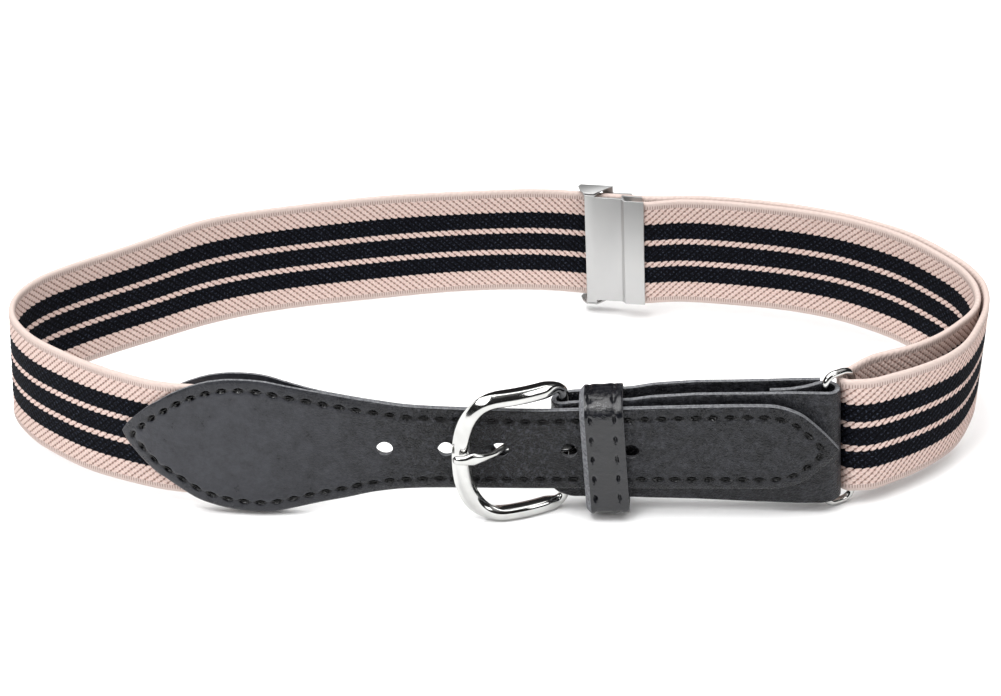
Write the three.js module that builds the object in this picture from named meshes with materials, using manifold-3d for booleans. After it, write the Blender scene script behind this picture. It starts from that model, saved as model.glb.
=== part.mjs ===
// A child's adjustable elastic belt, buckled into its loop and standing on its lower edge.
// Millimetres, +Z up. X runs along the buckle side, the buckle side faces -Y, and the origin is
// on the surface that the belt stands on, under the middle of the loop.
import * as THREE from "three";
import { mergeVertices } from "three/addons/utils/BufferGeometryUtils.js";
import Module from "manifold-3d";

// Driving dimensions
const GAP = 0.3; // clearance between pieces that touch
const MIDDLE_Z = 16.8; // height of the elastic's middle above the surface
const ELASTIC = { width: 25.4, thick: 1.3 };
const LEATHER = 1.0; // thickness of each layer of the leaf and strap
const LEAF_LIFT = ELASTIC.thick / 2 + GAP + LEATHER / 2; // from the elastic's middle to a leaf layer's
const STRAP_LIFT = GAP / 2 + LEATHER / 2; // from the strap's middle to a layer's, past the elastic
const STRAP = { holeDrop: 0.6, holeRadius: 1.65, firstHole: -20.6, holePitch: 12.1, holes: 5 };
const TAB = { leather: 1.2, fold: 2.0, spreadEnd: 65.0, returnLength: 11 };
const BUCKLE = {
  left: -7.2, barX: 14.6, halfHeight: 15.1, drop: 1.8, leftRun: 10.5, squareness: 2.35,
  leftWidth: 3.8, armWidth: 3.0, armDepth: 3.5, thick: 2.3, barRadius: 1.05, cornerRadius: 2.4,
  groove: 0.5, bow: 1.5, clear: 1.3,
};
const KEEPER = {
  x: 22.6, width: 8.5, halfHeight: 13.0, drop: 1.9, wall: 1.2, lean: 3.5, topCorner: 2.6,
  bottomCorner: 1.6, depth: 11.0,
};
const RING = { wire: 0.9, halfHeight: 15.7, spacing: 6.2, bend: 2.2, drop: 0.9, room: 0.65 };
const RING_LEAN = 2.5; // degrees that the ring, and the folds that hold it, lean to the left
const END_LEAN = { left: 4, right: 2.8 }; // degrees that the elastic leans to the right at the ends
const RING_LEFT_X = 66.1; // middle of the leg inside the leather tab
const RING_RIGHT = new THREE.Vector2(71.5, -31.6); // middle of the leg inside the elastic
const ADJUSTER = { x: 23.5, y: 41.6, lift: 0.3, heading: -7.5, lean: 1.2, sheet: 0.5 };

// Routes seen from above, as x and y of the middle of the thickness. The elastic's first run goes round
// the loop to the ring, and its last run goes back inside the first one to the adjuster.
const FIRST_RUN = [
  [-44.4, -38.7], [-55.2, -38.4], [-64.8, -37.2], [-72.4, -34.5], [-80.1, -30.8], [-86.9, -26.3],
  [-94.7, -19.6], [-100.1, -11.1], [-100.6, -3.7], [-97.5, 2.9], [-91.0, 9.3], [-76.9, 19.8],
  [-66.9, 27.2], [-56.9, 31.9], [-36.7, 37.7], [-16.1, 41.8], [1.9, 43.6], [10.0, 43.4],
  [14.3, 42.8], [17.8, 42.25], [20.9, 41.95], [24.7, 41.45], [29.9, 40.85], [33.8, 40.8],
  [37.6, 40.9], [41.8, 40.8], [52.2, 39.4], [62.4, 37.3], [71.8, 34.15], [78.75, 30.35],
  [85.8, 25.2], [92.2, 18.15], [96.4, 12.2], [98.6, 6.6], [99.1, 1.6], [98.7, -3.3],
  [97.5, -8.2], [93.8, -17.6], [90.0, -22.8], [84.6, -27.5], [79.0, -31.1], [75.0, -33.2],
];
const LAST_RUN = [
  [75.4, -24.3], [82.0, -20.6], [88.0, -15.9], [92.6, -10.6], [95.5, -6.4], [96.95, -2.6],
  [97.3, 1.5], [96.8, 5.9], [94.8, 11.3], [90.8, 17.0], [84.5, 23.9], [77.8, 28.8],
  [71.1, 32.5], [61.9, 35.6], [51.8, 37.7], [41.6, 39.05], [37.2, 39.2], [33.6, 38.75],
];
const STRAP_RUN = [
  [-72.8, -34.5], [-65.3, -37.2], [-55.7, -38.4], [-45.2, -38.8], [-19.2, -38.8], [68.6, -38.7],
];

// Outlines seen from the front, as x and the heights above and below the elastic's middle
const LEAF_AND_STRAP = [
  [-72.9, 0.6, -0.6], [-71.3, 3.0, 2.5], [-67.5, 7.0, 6.8], [-64.7, 9.3, 8.8], [-61.9, 11.3, 10.8],
  [-58.7, 13.0, 12.6], [-55.0, 14.4, 13.8], [-51.4, 15.1, 14.5], [-47.5, 15.2, 14.9],
  [-43.5, 14.8, 15.0], [-39.5, 13.7, 14.4], [-34.5, 12.4, 13.4], [-29.0, 11.2, 12.3],
  [-22.0, 9.9, 10.9], [-13.0, 8.8, 10.0], [7.5, 8.3, 9.8], [20.0, 8.7, 9.6], [41.0, 9.6, 9.3],
  [53.0, 9.9, 9.2], [56.9, 9.5, 9.0], [60.4, 8.1, 8.0], [62.7, 6.3, 6.5], [65.3, 3.7, 4.0],
  [67.3, 1.4, 1.6], [68.3, 0.2, -0.2],
];
const TAB_OUTLINE = [
  [9.0, 7.9, 10.6], [12.0, 8.1, 11.7], [16.2, 8.5, 13.0], [28.0, 9.3, 13.0], [32.0, 10.0, 13.1],
  [41.0, 11.0, 13.2], [50.0, 11.4, 13.6], [60.0, 11.7, 13.9], [72.0, 11.7, 13.9],
];

const OUTLINE_STEPS = 72; // points along each smoothed outline
const STRAP_SLAB = { near: -60, far: -25 }; // depths that hold the whole buckle side
const PRONG_HOLE = 2; // which hole of the strap the prong goes through

const wasm = await Module();
wasm.setup();

const FINISH = {
  elastic: { color: 0xdcbcb2, roughness: 0.9, metalness: 0 },
  leather: { color: 0x2b2b2e, roughness: 0.55, metalness: 0 },
  glossy: { color: 0x232326, roughness: 0.3, metalness: 0 },
  nickel: { color: 0xd5d5d3, roughness: 0.12, metalness: 1 },
};

const belt = new THREE.Group();

function addPiece(parent, name, geometry, finish) {
  const mesh = new THREE.Mesh(geometry, new THREE.MeshStandardMaterial(FINISH[finish]));
  mesh.name = name;
  parent.add(mesh);
  return mesh;
}

function solidOf(geometry) {
  const bare = geometry.clone();
  bare.deleteAttribute("normal");
  bare.deleteAttribute("uv");
  const merged = mergeVertices(bare, 1e-4);
  return new wasm.Manifold(new wasm.Mesh({
    numProp: 3,
    vertProperties: new Float32Array(merged.attributes.position.array),
    triVerts: new Uint32Array(merged.index.array),
  }));
}

function geometryOf(solid) {
  const mesh = solid.getMesh();
  const geometry = new THREE.BufferGeometry();
  geometry.setAttribute("position", new THREE.BufferAttribute(mesh.vertProperties, 3));
  geometry.setIndex(new THREE.BufferAttribute(mesh.triVerts, 1));
  return geometry;
}

// Points every step along a smooth route through a table of rows.
function smooth(rows, step) {
  const curve = new THREE.CatmullRomCurve3(
    rows.map(([x, y]) => new THREE.Vector3(x, y, 0)), false, "centripetal");
  return curve.getSpacedPoints(Math.round(curve.getLength() / step))
    .map((p) => new THREE.Vector2(p.x, p.y));
}

// The route moved sideways, to its right as it runs, by a distance that may depend on the place.
function beside(route, distance) {
  return route.map((p, i) => {
    const ahead = route[Math.min(i + 1, route.length - 1)];
    const behind = route[Math.max(i - 1, 0)];
    const along = ahead.clone().sub(behind).normalize();
    const d = typeof distance === "function" ? distance(p) : distance;
    return new THREE.Vector2(p.x + along.y * d, p.y - along.x * d);
  });
}

// An upright wall of even thickness along a route.
function band(route, thick, low, high) {
  const outline = [...beside(route, -thick / 2), ...beside(route, thick / 2).reverse()];
  return new THREE.ExtrudeGeometry(new THREE.Shape(outline), { depth: high - low, bevelEnabled: false })
    .translate(0, 0, low);
}

// A slab with an outline seen from the front, from y = near to y = far.
function frontSlab(shape, near, far) {
  return new THREE.ExtrudeGeometry(shape, { depth: far - near, bevelEnabled: false, curveSegments: 6 })
    .rotateX(Math.PI / 2).translate(0, far, 0);
}

// A closed outline from rows of x and the heights above and below the elastic's middle.
function outlineOf(rows, smoothed) {
  const edge = (sign, column) => {
    const points = rows.map((row) => new THREE.Vector2(row[0], MIDDLE_Z + sign * row[column]));
    return smoothed ? new THREE.SplineCurve(points).getPoints(OUTLINE_STEPS) : points;
  };
  const all = [...edge(1, 1), ...edge(-1, 2).reverse()];
  return new THREE.Shape(all.filter((p, i) => p.distanceTo(all[(i + 1) % all.length]) > 0.01));
}

// A skin over rings of points, closed on itself or with a cap at each end.
function loft(rings, closed) {
  const sides = rings[0].length;
  const index = [];
  const last = closed ? rings.length : rings.length - 1;
  for (let i = 0; i < last; i++)
    for (let k = 0; k < sides; k++) {
      const a = i * sides + k;
      const b = i * sides + ((k + 1) % sides);
      const c = ((i + 1) % rings.length) * sides + k;
      const d = ((i + 1) % rings.length) * sides + ((k + 1) % sides);
      index.push(a, c, b, b, c, d);
    }
  if (!closed) {
    const end = (rings.length - 1) * sides;
    for (let k = 1; k < sides - 1; k++) index.push(0, k, k + 1, end, end + k + 1, end + k);
  }
  const geometry = new THREE.BufferGeometry().setFromPoints(rings.flat()).setIndex(index);
  return facingOut(geometry);
}

// The geometry sheared sideways: its upper side goes to the left round the ring, and to the right
// at both ends of the loop.
function leaning(geometry) {
  const { degToRad, smoothstep } = THREE.MathUtils;
  const p = geometry.attributes.position;
  for (let i = 0; i < p.count; i++) {
    const x = p.getX(i);
    const atRing = p.getY(i) < 0 ? smoothstep(x, 30, 58) * (1 - smoothstep(x, 74, 90)) : 0;
    const degrees = END_LEAN.left * smoothstep(-x, 62, 86) + END_LEAN.right * smoothstep(x, 72, 92)
      - RING_LEAN * atRing;
    p.setX(i, x + Math.tan(degToRad(degrees)) * (p.getZ(i) - MIDDLE_Z));
  }
  return geometry;
}

function facingOut(geometry) {
  const p = geometry.attributes.position;
  const ix = geometry.index.array;
  const corner = (i) => new THREE.Vector3().fromBufferAttribute(p, ix[i]);
  let volume = 0;
  for (let i = 0; i < ix.length; i += 3) volume += corner(i).dot(corner(i + 1).cross(corner(i + 2)));
  if (volume < 0)
    for (let i = 0; i < ix.length; i += 3) [ix[i + 1], ix[i + 2]] = [ix[i + 2], ix[i + 1]];
  return geometry;
}

// Rings of an oval section along a flat path. Across is the direction out of the path's plane.
function ovalRings(path, across, sizes, sides, closed) {
  const n = path.length;
  return path.map((p, i) => {
    const ahead = path[closed ? (i + 1) % n : Math.min(i + 1, n - 1)];
    const behind = path[closed ? (i + n - 1) % n : Math.max(i - 1, 0)];
    const out = ahead.clone().sub(behind).cross(across).normalize();
    const { wide, deep } = sizes(i, p);
    return Array.from({ length: sides }, (_, k) => {
      const a = ((k + 0.5) / sides) * 2 * Math.PI;
      return p.clone().addScaledVector(out, (Math.cos(a) * wide) / 2)
        .addScaledVector(across, (Math.sin(a) * deep) / 2);
    });
  });
}

// Elastic: one length from inside the leaf, round the loop, through the ring and back on itself
// A point of the adjuster seen from above: along its length, and inwards from the outer run.
function adjusterPoint(along, inwards) {
  const a = THREE.MathUtils.degToRad(ADJUSTER.heading);
  return [
    ADJUSTER.x + along * Math.cos(a) + inwards * Math.sin(a),
    ADJUSTER.y + along * Math.sin(a) - inwards * Math.cos(a),
  ];
}

function elasticRoute() {
  const radius = RING.wire + RING.room + ELASTIC.thick / 2;
  const turn = [];
  for (let a = -75; a >= -250; a -= 25) {
    const t = THREE.MathUtils.degToRad(a);
    turn.push([RING_RIGHT.x + radius * Math.cos(t), RING_RIGHT.y + radius * Math.sin(t)]);
  }
  return [...FIRST_RUN, ...turn, ...LAST_RUN, adjusterPoint(7.2, 2.45), adjusterPoint(3.6, 2.45)];
}

// The route with points 1 mm apart where it turns sharply and about 4 mm apart elsewhere.
function thinned(route) {
  const kept = [route[0]];
  for (let i = 1; i < route.length - 1; i++) {
    const from = kept[kept.length - 1];
    const bend = Math.abs(route[i].clone().sub(from).angle() - route[i + 1].clone().sub(route[i]).angle());
    if (route[i].distanceTo(from) > 4 || Math.min(bend, 2 * Math.PI - bend) > 0.16) kept.push(route[i]);
  }
  kept.push(route[route.length - 1]);
  return kept;
}

const elasticPath = thinned(smooth(elasticRoute(), 0.8));
addPiece(belt, "elastic_strap", leaning(band(
  elasticPath, ELASTIC.thick, MIDDLE_Z - ELASTIC.width / 2, MIDDLE_Z + ELASTIC.width / 2)), "elastic");

// Leaf and strap: two layers with the same outline, sewn round the edge, the elastic's end between
const strapRun = smooth(STRAP_RUN, 4);
const LEAF_END = -42.4; // where the elastic's end stops inside the leaf, and 2 mm more
const LEAF_TAPER = 8; // length over which the two layers close up past the elastic's end

// How far a layer's middle lies from the strap's middle.
function layerLift(p) {
  const t = THREE.MathUtils.smoothstep(p.x, LEAF_END, LEAF_END + LEAF_TAPER);
  return THREE.MathUtils.lerp(LEAF_LIFT, STRAP_LIFT, t);
}

// A hole through the strap, drawn out along it to make a slot where a half length is given.
function holeCutter(x, halfLength) {
  const r = STRAP.holeRadius;
  const level = MIDDLE_Z - STRAP.holeDrop;
  const straight = Math.max(halfLength - r, 0);
  const shape = new THREE.Shape();
  shape.absarc(x + straight, level, r, -Math.PI / 2, Math.PI / 2);
  shape.absarc(x - straight, level, r, Math.PI / 2, (3 * Math.PI) / 2);
  return solidOf(frontSlab(shape, STRAP_SLAB.near, STRAP_SLAB.far));
}

// The route with its first and last stretch run on by a distance.
function extended(route, by) {
  const first = route[0].clone().sub(route[1]).setLength(by).add(route[0]);
  const [before, end] = route.slice(-2);
  return [first, ...route, end.clone().sub(before).setLength(by).add(end)];
}

function strapLayer(side, prongSlot) {
  const route = extended(beside(strapRun, (p) => side * layerLift(p)), 2);
  let solid = solidOf(band(route, LEATHER, 0, 2 * MIDDLE_Z))
    .intersect(solidOf(frontSlab(outlineOf(LEAF_AND_STRAP, true), STRAP_SLAB.near, STRAP_SLAB.far)));
  for (let i = 0; i < STRAP.holes; i++) {
    const x = STRAP.firstHole + i * STRAP.holePitch;
    const cutter = i === PRONG_HOLE ? holeCutter(prongSlot.x, prongSlot.half) : holeCutter(x, 0);
    solid = solid.subtract(cutter);
  }
  return geometryOf(solid);
}

addPiece(belt, "billet_front", strapLayer(1, { x: 1.6, half: 2.1 }), "leather");
addPiece(belt, "billet_back", strapLayer(-1, { x: 3.0, half: 2.3 }), "leather");

// Height of the strap's middle line above the x axis of the plan, at a given x.
function strapY(x) {
  const i = strapRun.findIndex((p) => p.x > x);
  const [a, b] = [strapRun[i - 1], strapRun[i]];
  return THREE.MathUtils.lerp(a.y, b.y, (x - a.x) / (b.x - a.x));
}

// Buckle tab: one strip whose rear end is free behind the ring. It runs back to the heel bar, folds
// round it, runs forward behind the strap, folds round the ring and ends between its own layers
const TAB_LIFT = STRAP_LIFT + (LEATHER + TAB.leather) / 2 + GAP;
const tabFront = (x) => strapY(x) + TAB_LIFT;
const barY = tabFront(BUCKLE.barX) + TAB.fold;
const ringFold = RING.wire + RING.room + TAB.leather / 2;
const RING_LEFT = new THREE.Vector2(RING_LEFT_X, tabFront(RING_LEFT_X) + ringFold);
const TAB_REAR = [
  [TAB.spreadEnd, 5.2], [58, 4.9], [46, 4.2], [36, 3.6], [28, 3.3], [22, 3.2], [18, 3.3],
];

function tabRoute() {
  const arc = (centreX, centreY, radius, from, to) => Array.from({ length: 9 }, (_, i) => {
    const a = THREE.MathUtils.degToRad(THREE.MathUtils.lerp(from, to, i / 8));
    return new THREE.Vector2(centreX + radius * Math.cos(a), centreY + radius * Math.sin(a));
  });
  const rear = smooth(TAB_REAR.map(([x, spread]) => [x, tabFront(x) + spread]), 4);
  const front = [];
  for (let x = BUCKLE.barX + 4; x < RING_LEFT.x - 2; x += 7) front.push(new THREE.Vector2(x, tabFront(x)));
  const inside = TAB.leather + GAP;
  const back = [4, 7, TAB.returnLength].map((d, i) => new THREE.Vector2(
    RING_LEFT.x - d, tabFront(RING_LEFT.x - d) + [2.7, 1.9, inside][i]));
  return [
    ...rear, ...arc(BUCKLE.barX, barY, TAB.fold, 90, 270), ...front,
    ...arc(RING_LEFT.x, RING_LEFT.y, ringFold, -90, 90), ...back,
  ];
}

function tabGeometry() {
  const walls = band(tabRoute(), TAB.leather, 0, 2 * MIDDLE_Z);
  const slot = new THREE.BoxGeometry(10, 12, 4).translate(BUCKLE.barX, barY, heelZ);
  return geometryOf(solidOf(walls)
    .intersect(solidOf(frontSlab(outlineOf(TAB_OUTLINE, false), STRAP_SLAB.near, STRAP_SLAB.far)))
    .subtract(solidOf(slot)));
}

const heelZ = MIDDLE_Z - BUCKLE.drop;
addPiece(belt, "buckle_tab", leaning(tabGeometry()), "leather");

// Buckle frame: cast, a round heel bar and a broad bowed front bar, turned so that the front bar
// lies on the strap and the heel bar behind it
const frontBarX = BUCKLE.left + BUCKLE.leftWidth / 2;
const frontBarY = strapY(frontBarX) - STRAP_LIFT - LEATHER / 2 - GAP - BUCKLE.clear;
const frameAngle = Math.atan2(barY - frontBarY, BUCKLE.barX - frontBarX);
const frameLength = Math.hypot(barY - frontBarY, BUCKLE.barX - frontBarX);
const frameShare = (u) => THREE.MathUtils.clamp(-u / frameLength, 0, 1);

// The frame's middle line, from the heel bar's middle at u = 0 to the front bar at u = -frameLength.
function framePath() {
  const half = BUCKLE.halfHeight - BUCKLE.armWidth / 2;
  const r = BUCKLE.cornerRadius;
  const run = BUCKLE.leftRun - BUCKLE.leftWidth / 2;
  const power = 2 / BUCKLE.squareness;
  const upper = [];
  for (let i = 0; i <= 4; i++) {
    const a = (i / 4) * (Math.PI / 2);
    upper.push([-r + r * Math.cos(a), half - r + r * Math.sin(a)]);
  }
  upper.push([-r - 3, half], [-frameLength + run + 1, half]);
  for (let i = 0; i <= 10; i++) {
    const a = (i / 10) * (Math.PI / 2);
    upper.push([-frameLength + run - run * Math.sin(a) ** power, Math.cos(a) ** power * half]);
  }
  const lower = upper.slice(0, -1).map(([u, v]) => [u, -v]).reverse();
  return [...upper, ...lower].filter(([u, v], i, all) => {
    const [nextU, nextV] = all[(i + 1) % all.length];
    return Math.hypot(nextU - u, nextV - v) > 0.2;
  }).map(([u, v]) => new THREE.Vector3(u, -BUCKLE.bow * Math.sin(Math.PI * frameShare(u)), v));
}

function frameSize(i, p) {
  const towardsFront = frameShare(p.x);
  const bar = THREE.MathUtils.smoothstep(towardsFront, 0.03, 0.22);
  const front = THREE.MathUtils.smoothstep(towardsFront, 0.6, 0.95);
  const arm = THREE.MathUtils.lerp(2 * BUCKLE.barRadius, BUCKLE.armWidth, bar);
  const armDepth = THREE.MathUtils.lerp(2 * BUCKLE.barRadius, BUCKLE.armDepth, bar);
  return {
    wide: THREE.MathUtils.lerp(arm, BUCKLE.leftWidth, front),
    deep: THREE.MathUtils.lerp(armDepth, BUCKLE.thick, front),
  };
}

function frameGeometry() {
  const across = new THREE.Vector3(0, 1, 0);
  const frame = solidOf(loft(ovalRings(framePath(), across, frameSize, 8, true), true));
  const radius = PRONG.shank + GAP + 0.15;
  const groove = new THREE.CylinderGeometry(radius, radius, 8, 16).rotateZ(Math.PI / 2)
    .translate(-frameLength, -BUCKLE.thick / 2 - radius + BUCKLE.groove, PRONG.frontRise);
  return geometryOf(frame.subtract(solidOf(groove)));
}

// Prong: a wire hooked round the heel bar, up through the third hole and over the front bar
const PRONG = { tip: 0.8, shank: 1.0, hook: 0.75, frontRise: 1.2, holeRise: 0.95 };
const hookRadius = BUCKLE.barRadius + GAP + PRONG.hook;

const frame = addPiece(belt, "buckle_frame", frameGeometry(), "nickel");
frame.position.set(BUCKLE.barX, barY, heelZ);
frame.rotation.z = frameAngle;

// Rows of x, y, the rise above the heel bar's middle, and the wire's radius.
function prongRows() {
  const overBar = frontBarY - BUCKLE.thick / 2 + BUCKLE.groove - GAP - PRONG.tip;
  const through = strapY(2);
  const rows = [
    [frontBarX - 1.0, overBar - 0.3, PRONG.frontRise, 0.85],
    [frontBarX, overBar - 0.2, PRONG.frontRise, 1],
    [frontBarX + 3.4, overBar + 0.9, PRONG.frontRise, 1],
    [0.3, through - 2.25, PRONG.holeRise, 0.9], [1.5, through - 1.2, PRONG.holeRise, 0.85],
    [2.4, through, PRONG.holeRise, 0.85], [3.4, through + 1.4, 0.75, 0.85],
    [5.4, through + 2.5, 0.5, 0.85], [10.8, barY - hookRadius + 0.05, 0.1, 0.8],
  ];
  for (let a = 270; a <= 510; a += 30) {
    const t = THREE.MathUtils.degToRad(a);
    rows.push([
      BUCKLE.barX + hookRadius * Math.cos(t), barY + hookRadius * Math.sin(t), 0, PRONG.hook,
    ]);
  }
  return rows;
}

function prongGeometry() {
  const rows = prongRows();
  const path = rows.map(([x, y, rise]) => new THREE.Vector3(x, y, heelZ + rise));
  const sizes = (i) => ({ wide: 2 * rows[i][3] * (i < 2 ? PRONG.tip : 1), deep: 2 * rows[i][3] });
  return loft(ovalRings(path, new THREE.Vector3(0, 0, 1), sizes, 10, false), false);
}

addPiece(belt, "buckle_prong", prongGeometry(), "nickel");

// Keeper: a leather loop round the strap and both layers of the tab, hanging on their upper edges
function keeperGeometry() {
  const near = strapY(KEEPER.x) - STRAP_LIFT - LEATHER / 2 - GAP - KEEPER.wall;
  const box = (inset) => {
    const w = KEEPER.depth / 2 - inset;
    const h = KEEPER.halfHeight - inset;
    const top = KEEPER.topCorner - inset;
    const bottom = KEEPER.bottomCorner - inset;
    const path = new THREE.Shape();
    path.absarc(w - top, h - top, top, 0, Math.PI / 2);
    path.absarc(-w + top, h - top, top, Math.PI / 2, Math.PI);
    path.absarc(-w + bottom, -h + bottom, bottom, Math.PI, 1.5 * Math.PI);
    path.absarc(w - bottom, -h + bottom, bottom, 1.5 * Math.PI, 2 * Math.PI);
    return path;
  };
  const shape = box(0);
  shape.holes.push(box(KEEPER.wall));
  return new THREE.ExtrudeGeometry(shape, { depth: KEEPER.width, bevelEnabled: false, curveSegments: 4 })
    .translate(0, 0, -KEEPER.width / 2).rotateX(Math.PI / 2).rotateZ(Math.PI / 2)
    .rotateY(-THREE.MathUtils.degToRad(KEEPER.lean))
    .translate(KEEPER.x, near + KEEPER.depth / 2, MIDDLE_Z - KEEPER.drop);
}

addPiece(belt, "keeper_loop", keeperGeometry(), "glossy");

// Ring: a wire oblong with one leg in the tab's fold and the other in the elastic's
function ringGeometry() {
  const half = RING.halfHeight - RING.wire;
  const reach = RING.spacing / 2;
  const r = RING.bend;
  const path = [];
  for (const [sideX, sideZ, from] of [[1, 1, 0], [-1, 1, 90], [-1, -1, 180], [1, -1, 270]])
    for (let i = 0; i <= 4; i++) {
      const a = THREE.MathUtils.degToRad(from + (i / 4) * 90);
      path.push(new THREE.Vector3(
        sideX * (reach - r) + r * Math.cos(a), 0, sideZ * (half - r) + r * Math.sin(a)));
    }
  const sizes = () => ({ wide: 2 * RING.wire, deep: 2 * RING.wire });
  return loft(ovalRings(path, new THREE.Vector3(0, 1, 0), sizes, 10, true), true);
}

const ringMiddle = RING_LEFT.clone().lerp(RING_RIGHT, 0.5);
const ringHeading = RING_RIGHT.clone().sub(RING_LEFT).angle();
addPiece(belt, "ring", leaning(ringGeometry().rotateZ(ringHeading)
  .translate(ringMiddle.x, ringMiddle.y, MIDDLE_Z - RING.drop)), "nickel");

// Adjuster: a folded sheet slide with a hinged clamping lever, in a frame of its own whose x runs
// along the elastic, y points out of the loop from the outer run's middle, and z is up
const adjuster = new THREE.Group();
adjuster.position.set(ADJUSTER.x, ADJUSTER.y, MIDDLE_Z + ADJUSTER.lift);
adjuster.rotation.set(0, -THREE.MathUtils.degToRad(ADJUSTER.lean),
  THREE.MathUtils.degToRad(ADJUSTER.heading), "ZYX");
belt.add(adjuster);

const PLATE = { left: -6.5, step: 2.1, right: 6.6, halfHeight: 12.9, front: -3.0, stepOut: 0.9, back: 0.4 };
const EAR = { low: 13.25, sheet: 0.4 };
const FLANGE = { low: 13.95, sheet: 0.4 };
const PIVOT = { x: -5.7, y: -1.3, pin: 0.8, hole: 1.1 };
const LEVER = { left: -3.1, right: 5.4, front: 0.95, halfHeight: 12.1 };
const EAR_OUTLINE = [
  [-6.5, PLATE.front], [-4.3, PLATE.front], [-3.4, -0.1], [-3.6, 0.4], [-6.8, 0.4], [-7.4, -0.1],
  [-7.1, -1.6],
];

// A flat piece with an outline seen from above, between two heights.
function flat(points, low, high) {
  const shape = new THREE.Shape(points.map(([x, y]) => new THREE.Vector2(x, y)));
  return solidOf(new THREE.ExtrudeGeometry(shape, { depth: high - low, bevelEnabled: false })
    .translate(0, 0, low));
}

function upright(x, y, radius, low, high) {
  return solidOf(new THREE.CylinderGeometry(radius, radius, high - low, 16).rotateX(Math.PI / 2)
    .translate(x, y, (low + high) / 2));
}

// A span of heights at the top of the piece, or the same span at its bottom.
const span = (side, low, high) => (side > 0 ? [low, high] : [-high, -low]);

function adjusterBody() {
  const t = ADJUSTER.sheet;
  const out = PLATE.front;
  const lip = out - PLATE.stepOut;
  const backWall = lip + t + GAP + ELASTIC.thick + GAP;
  const profile = [
    [PLATE.left, out], [PLATE.step - 0.6, out], [PLATE.step + 0.2, lip], [PLATE.right, lip],
    [PLATE.right, lip + t], [PLATE.step + 0.5, lip + t], [PLATE.step - 0.1, out + t],
    [PLATE.step - 0.1, backWall], [PLATE.right - 0.6, backWall],
    [PLATE.right - 0.6, backWall + PLATE.back], [PLATE.step - 0.6, backWall + PLATE.back],
    [PLATE.step - 0.6, out + t], [PLATE.left, out + t],
  ];
  const riser = [[PLATE.left, out], [-4.3, out], [-4.3, out + t], [PLATE.left, out + t]];
  let body = flat(profile, -PLATE.halfHeight, PLATE.halfHeight);
  for (const side of [-1, 1]) {
    body = body.add(flat(EAR_OUTLINE, ...span(side, EAR.low, EAR.low + EAR.sheet)))
      .add(flat(riser, ...span(side, PLATE.halfHeight - 1, EAR.low + EAR.sheet)))
      .subtract(upright(PIVOT.x, PIVOT.y, PIVOT.hole, ...span(side, EAR.low - 1, EAR.low + 1)));
  }
  return geometryOf(body);
}

function adjusterLever() {
  const back = LEVER.front + ADJUSTER.sheet;
  const top = FLANGE.low + FLANGE.sheet;
  const flange = [
    [-8.4, 0.5], [-8.0, back], [-0.8, back], [-4.4, -2.6], [-6.7, -2.6], [-7.7, -1.4],
  ];
  const riser = [[LEVER.left, LEVER.front], [-0.8, LEVER.front], [-0.8, back], [LEVER.left, back]];
  let lever = flat([
    [LEVER.left, LEVER.front], [LEVER.right, LEVER.front], [LEVER.right + 0.5, LEVER.front + 0.9],
    [LEVER.right + 0.1, LEVER.front + 1.1], [LEVER.right - 0.3, back], [LEVER.left, back],
  ], -LEVER.halfHeight, LEVER.halfHeight);
  for (const side of [-1, 1]) {
    // a pin through the ear, and a finger cut-out that leaves a tongue in the middle of the free end
    const cutOut = new THREE.BoxGeometry(4, 4, 6).translate(
      LEVER.right, LEVER.front, side * (LEVER.halfHeight - 1));
    lever = lever.add(flat(flange, ...span(side, FLANGE.low, top)))
      .add(flat(riser, ...span(side, LEVER.halfHeight - 1, top)))
      .add(upright(PIVOT.x, PIVOT.y, PIVOT.pin, ...span(side, EAR.low + 0.05, top - 0.1)))
      .subtract(solidOf(cutOut));
  }
  return geometryOf(lever);
}

addPiece(adjuster, "adjuster_body", adjusterBody(), "nickel");
addPiece(adjuster, "adjuster_lever", adjusterLever(), "nickel");

export default belt;
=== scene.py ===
# A child's striped elastic belt with leather ends, buckled into its loop and standing on its lower edge.
# Sizes are in millimetres, and MM turns them to Blender's metres where vertices are placed.
import math

import bpy
import numpy as np
from mathutils import Matrix, Vector, noise


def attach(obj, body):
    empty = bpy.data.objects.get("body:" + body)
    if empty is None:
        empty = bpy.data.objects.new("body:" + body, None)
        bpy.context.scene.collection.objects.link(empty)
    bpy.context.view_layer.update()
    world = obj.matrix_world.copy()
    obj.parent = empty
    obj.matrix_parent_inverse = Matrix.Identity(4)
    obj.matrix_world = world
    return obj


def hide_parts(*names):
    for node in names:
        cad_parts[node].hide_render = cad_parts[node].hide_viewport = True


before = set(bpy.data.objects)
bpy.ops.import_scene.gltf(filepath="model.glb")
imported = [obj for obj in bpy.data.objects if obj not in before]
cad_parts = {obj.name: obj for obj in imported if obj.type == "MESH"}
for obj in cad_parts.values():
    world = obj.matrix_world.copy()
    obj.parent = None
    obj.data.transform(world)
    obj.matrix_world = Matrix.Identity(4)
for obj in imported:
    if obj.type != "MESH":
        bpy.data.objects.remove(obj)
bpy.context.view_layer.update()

# Camera: a long lens above and in front of the buckled side, rolled a little as the photograph is.
MM = 0.001
MIDDLE_Z = 16.8  # height of the elastic's middle above the floor
VIEW = {"target": (0.18, -2.36, MIDDLE_Z), "turn": 3.9012, "rise": 31.5, "distance": 570.0, "roll": -0.0244}
LENS = {"focal_px": 2745.0, "image_width_px": 1001, "sensor": 36.0}

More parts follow.
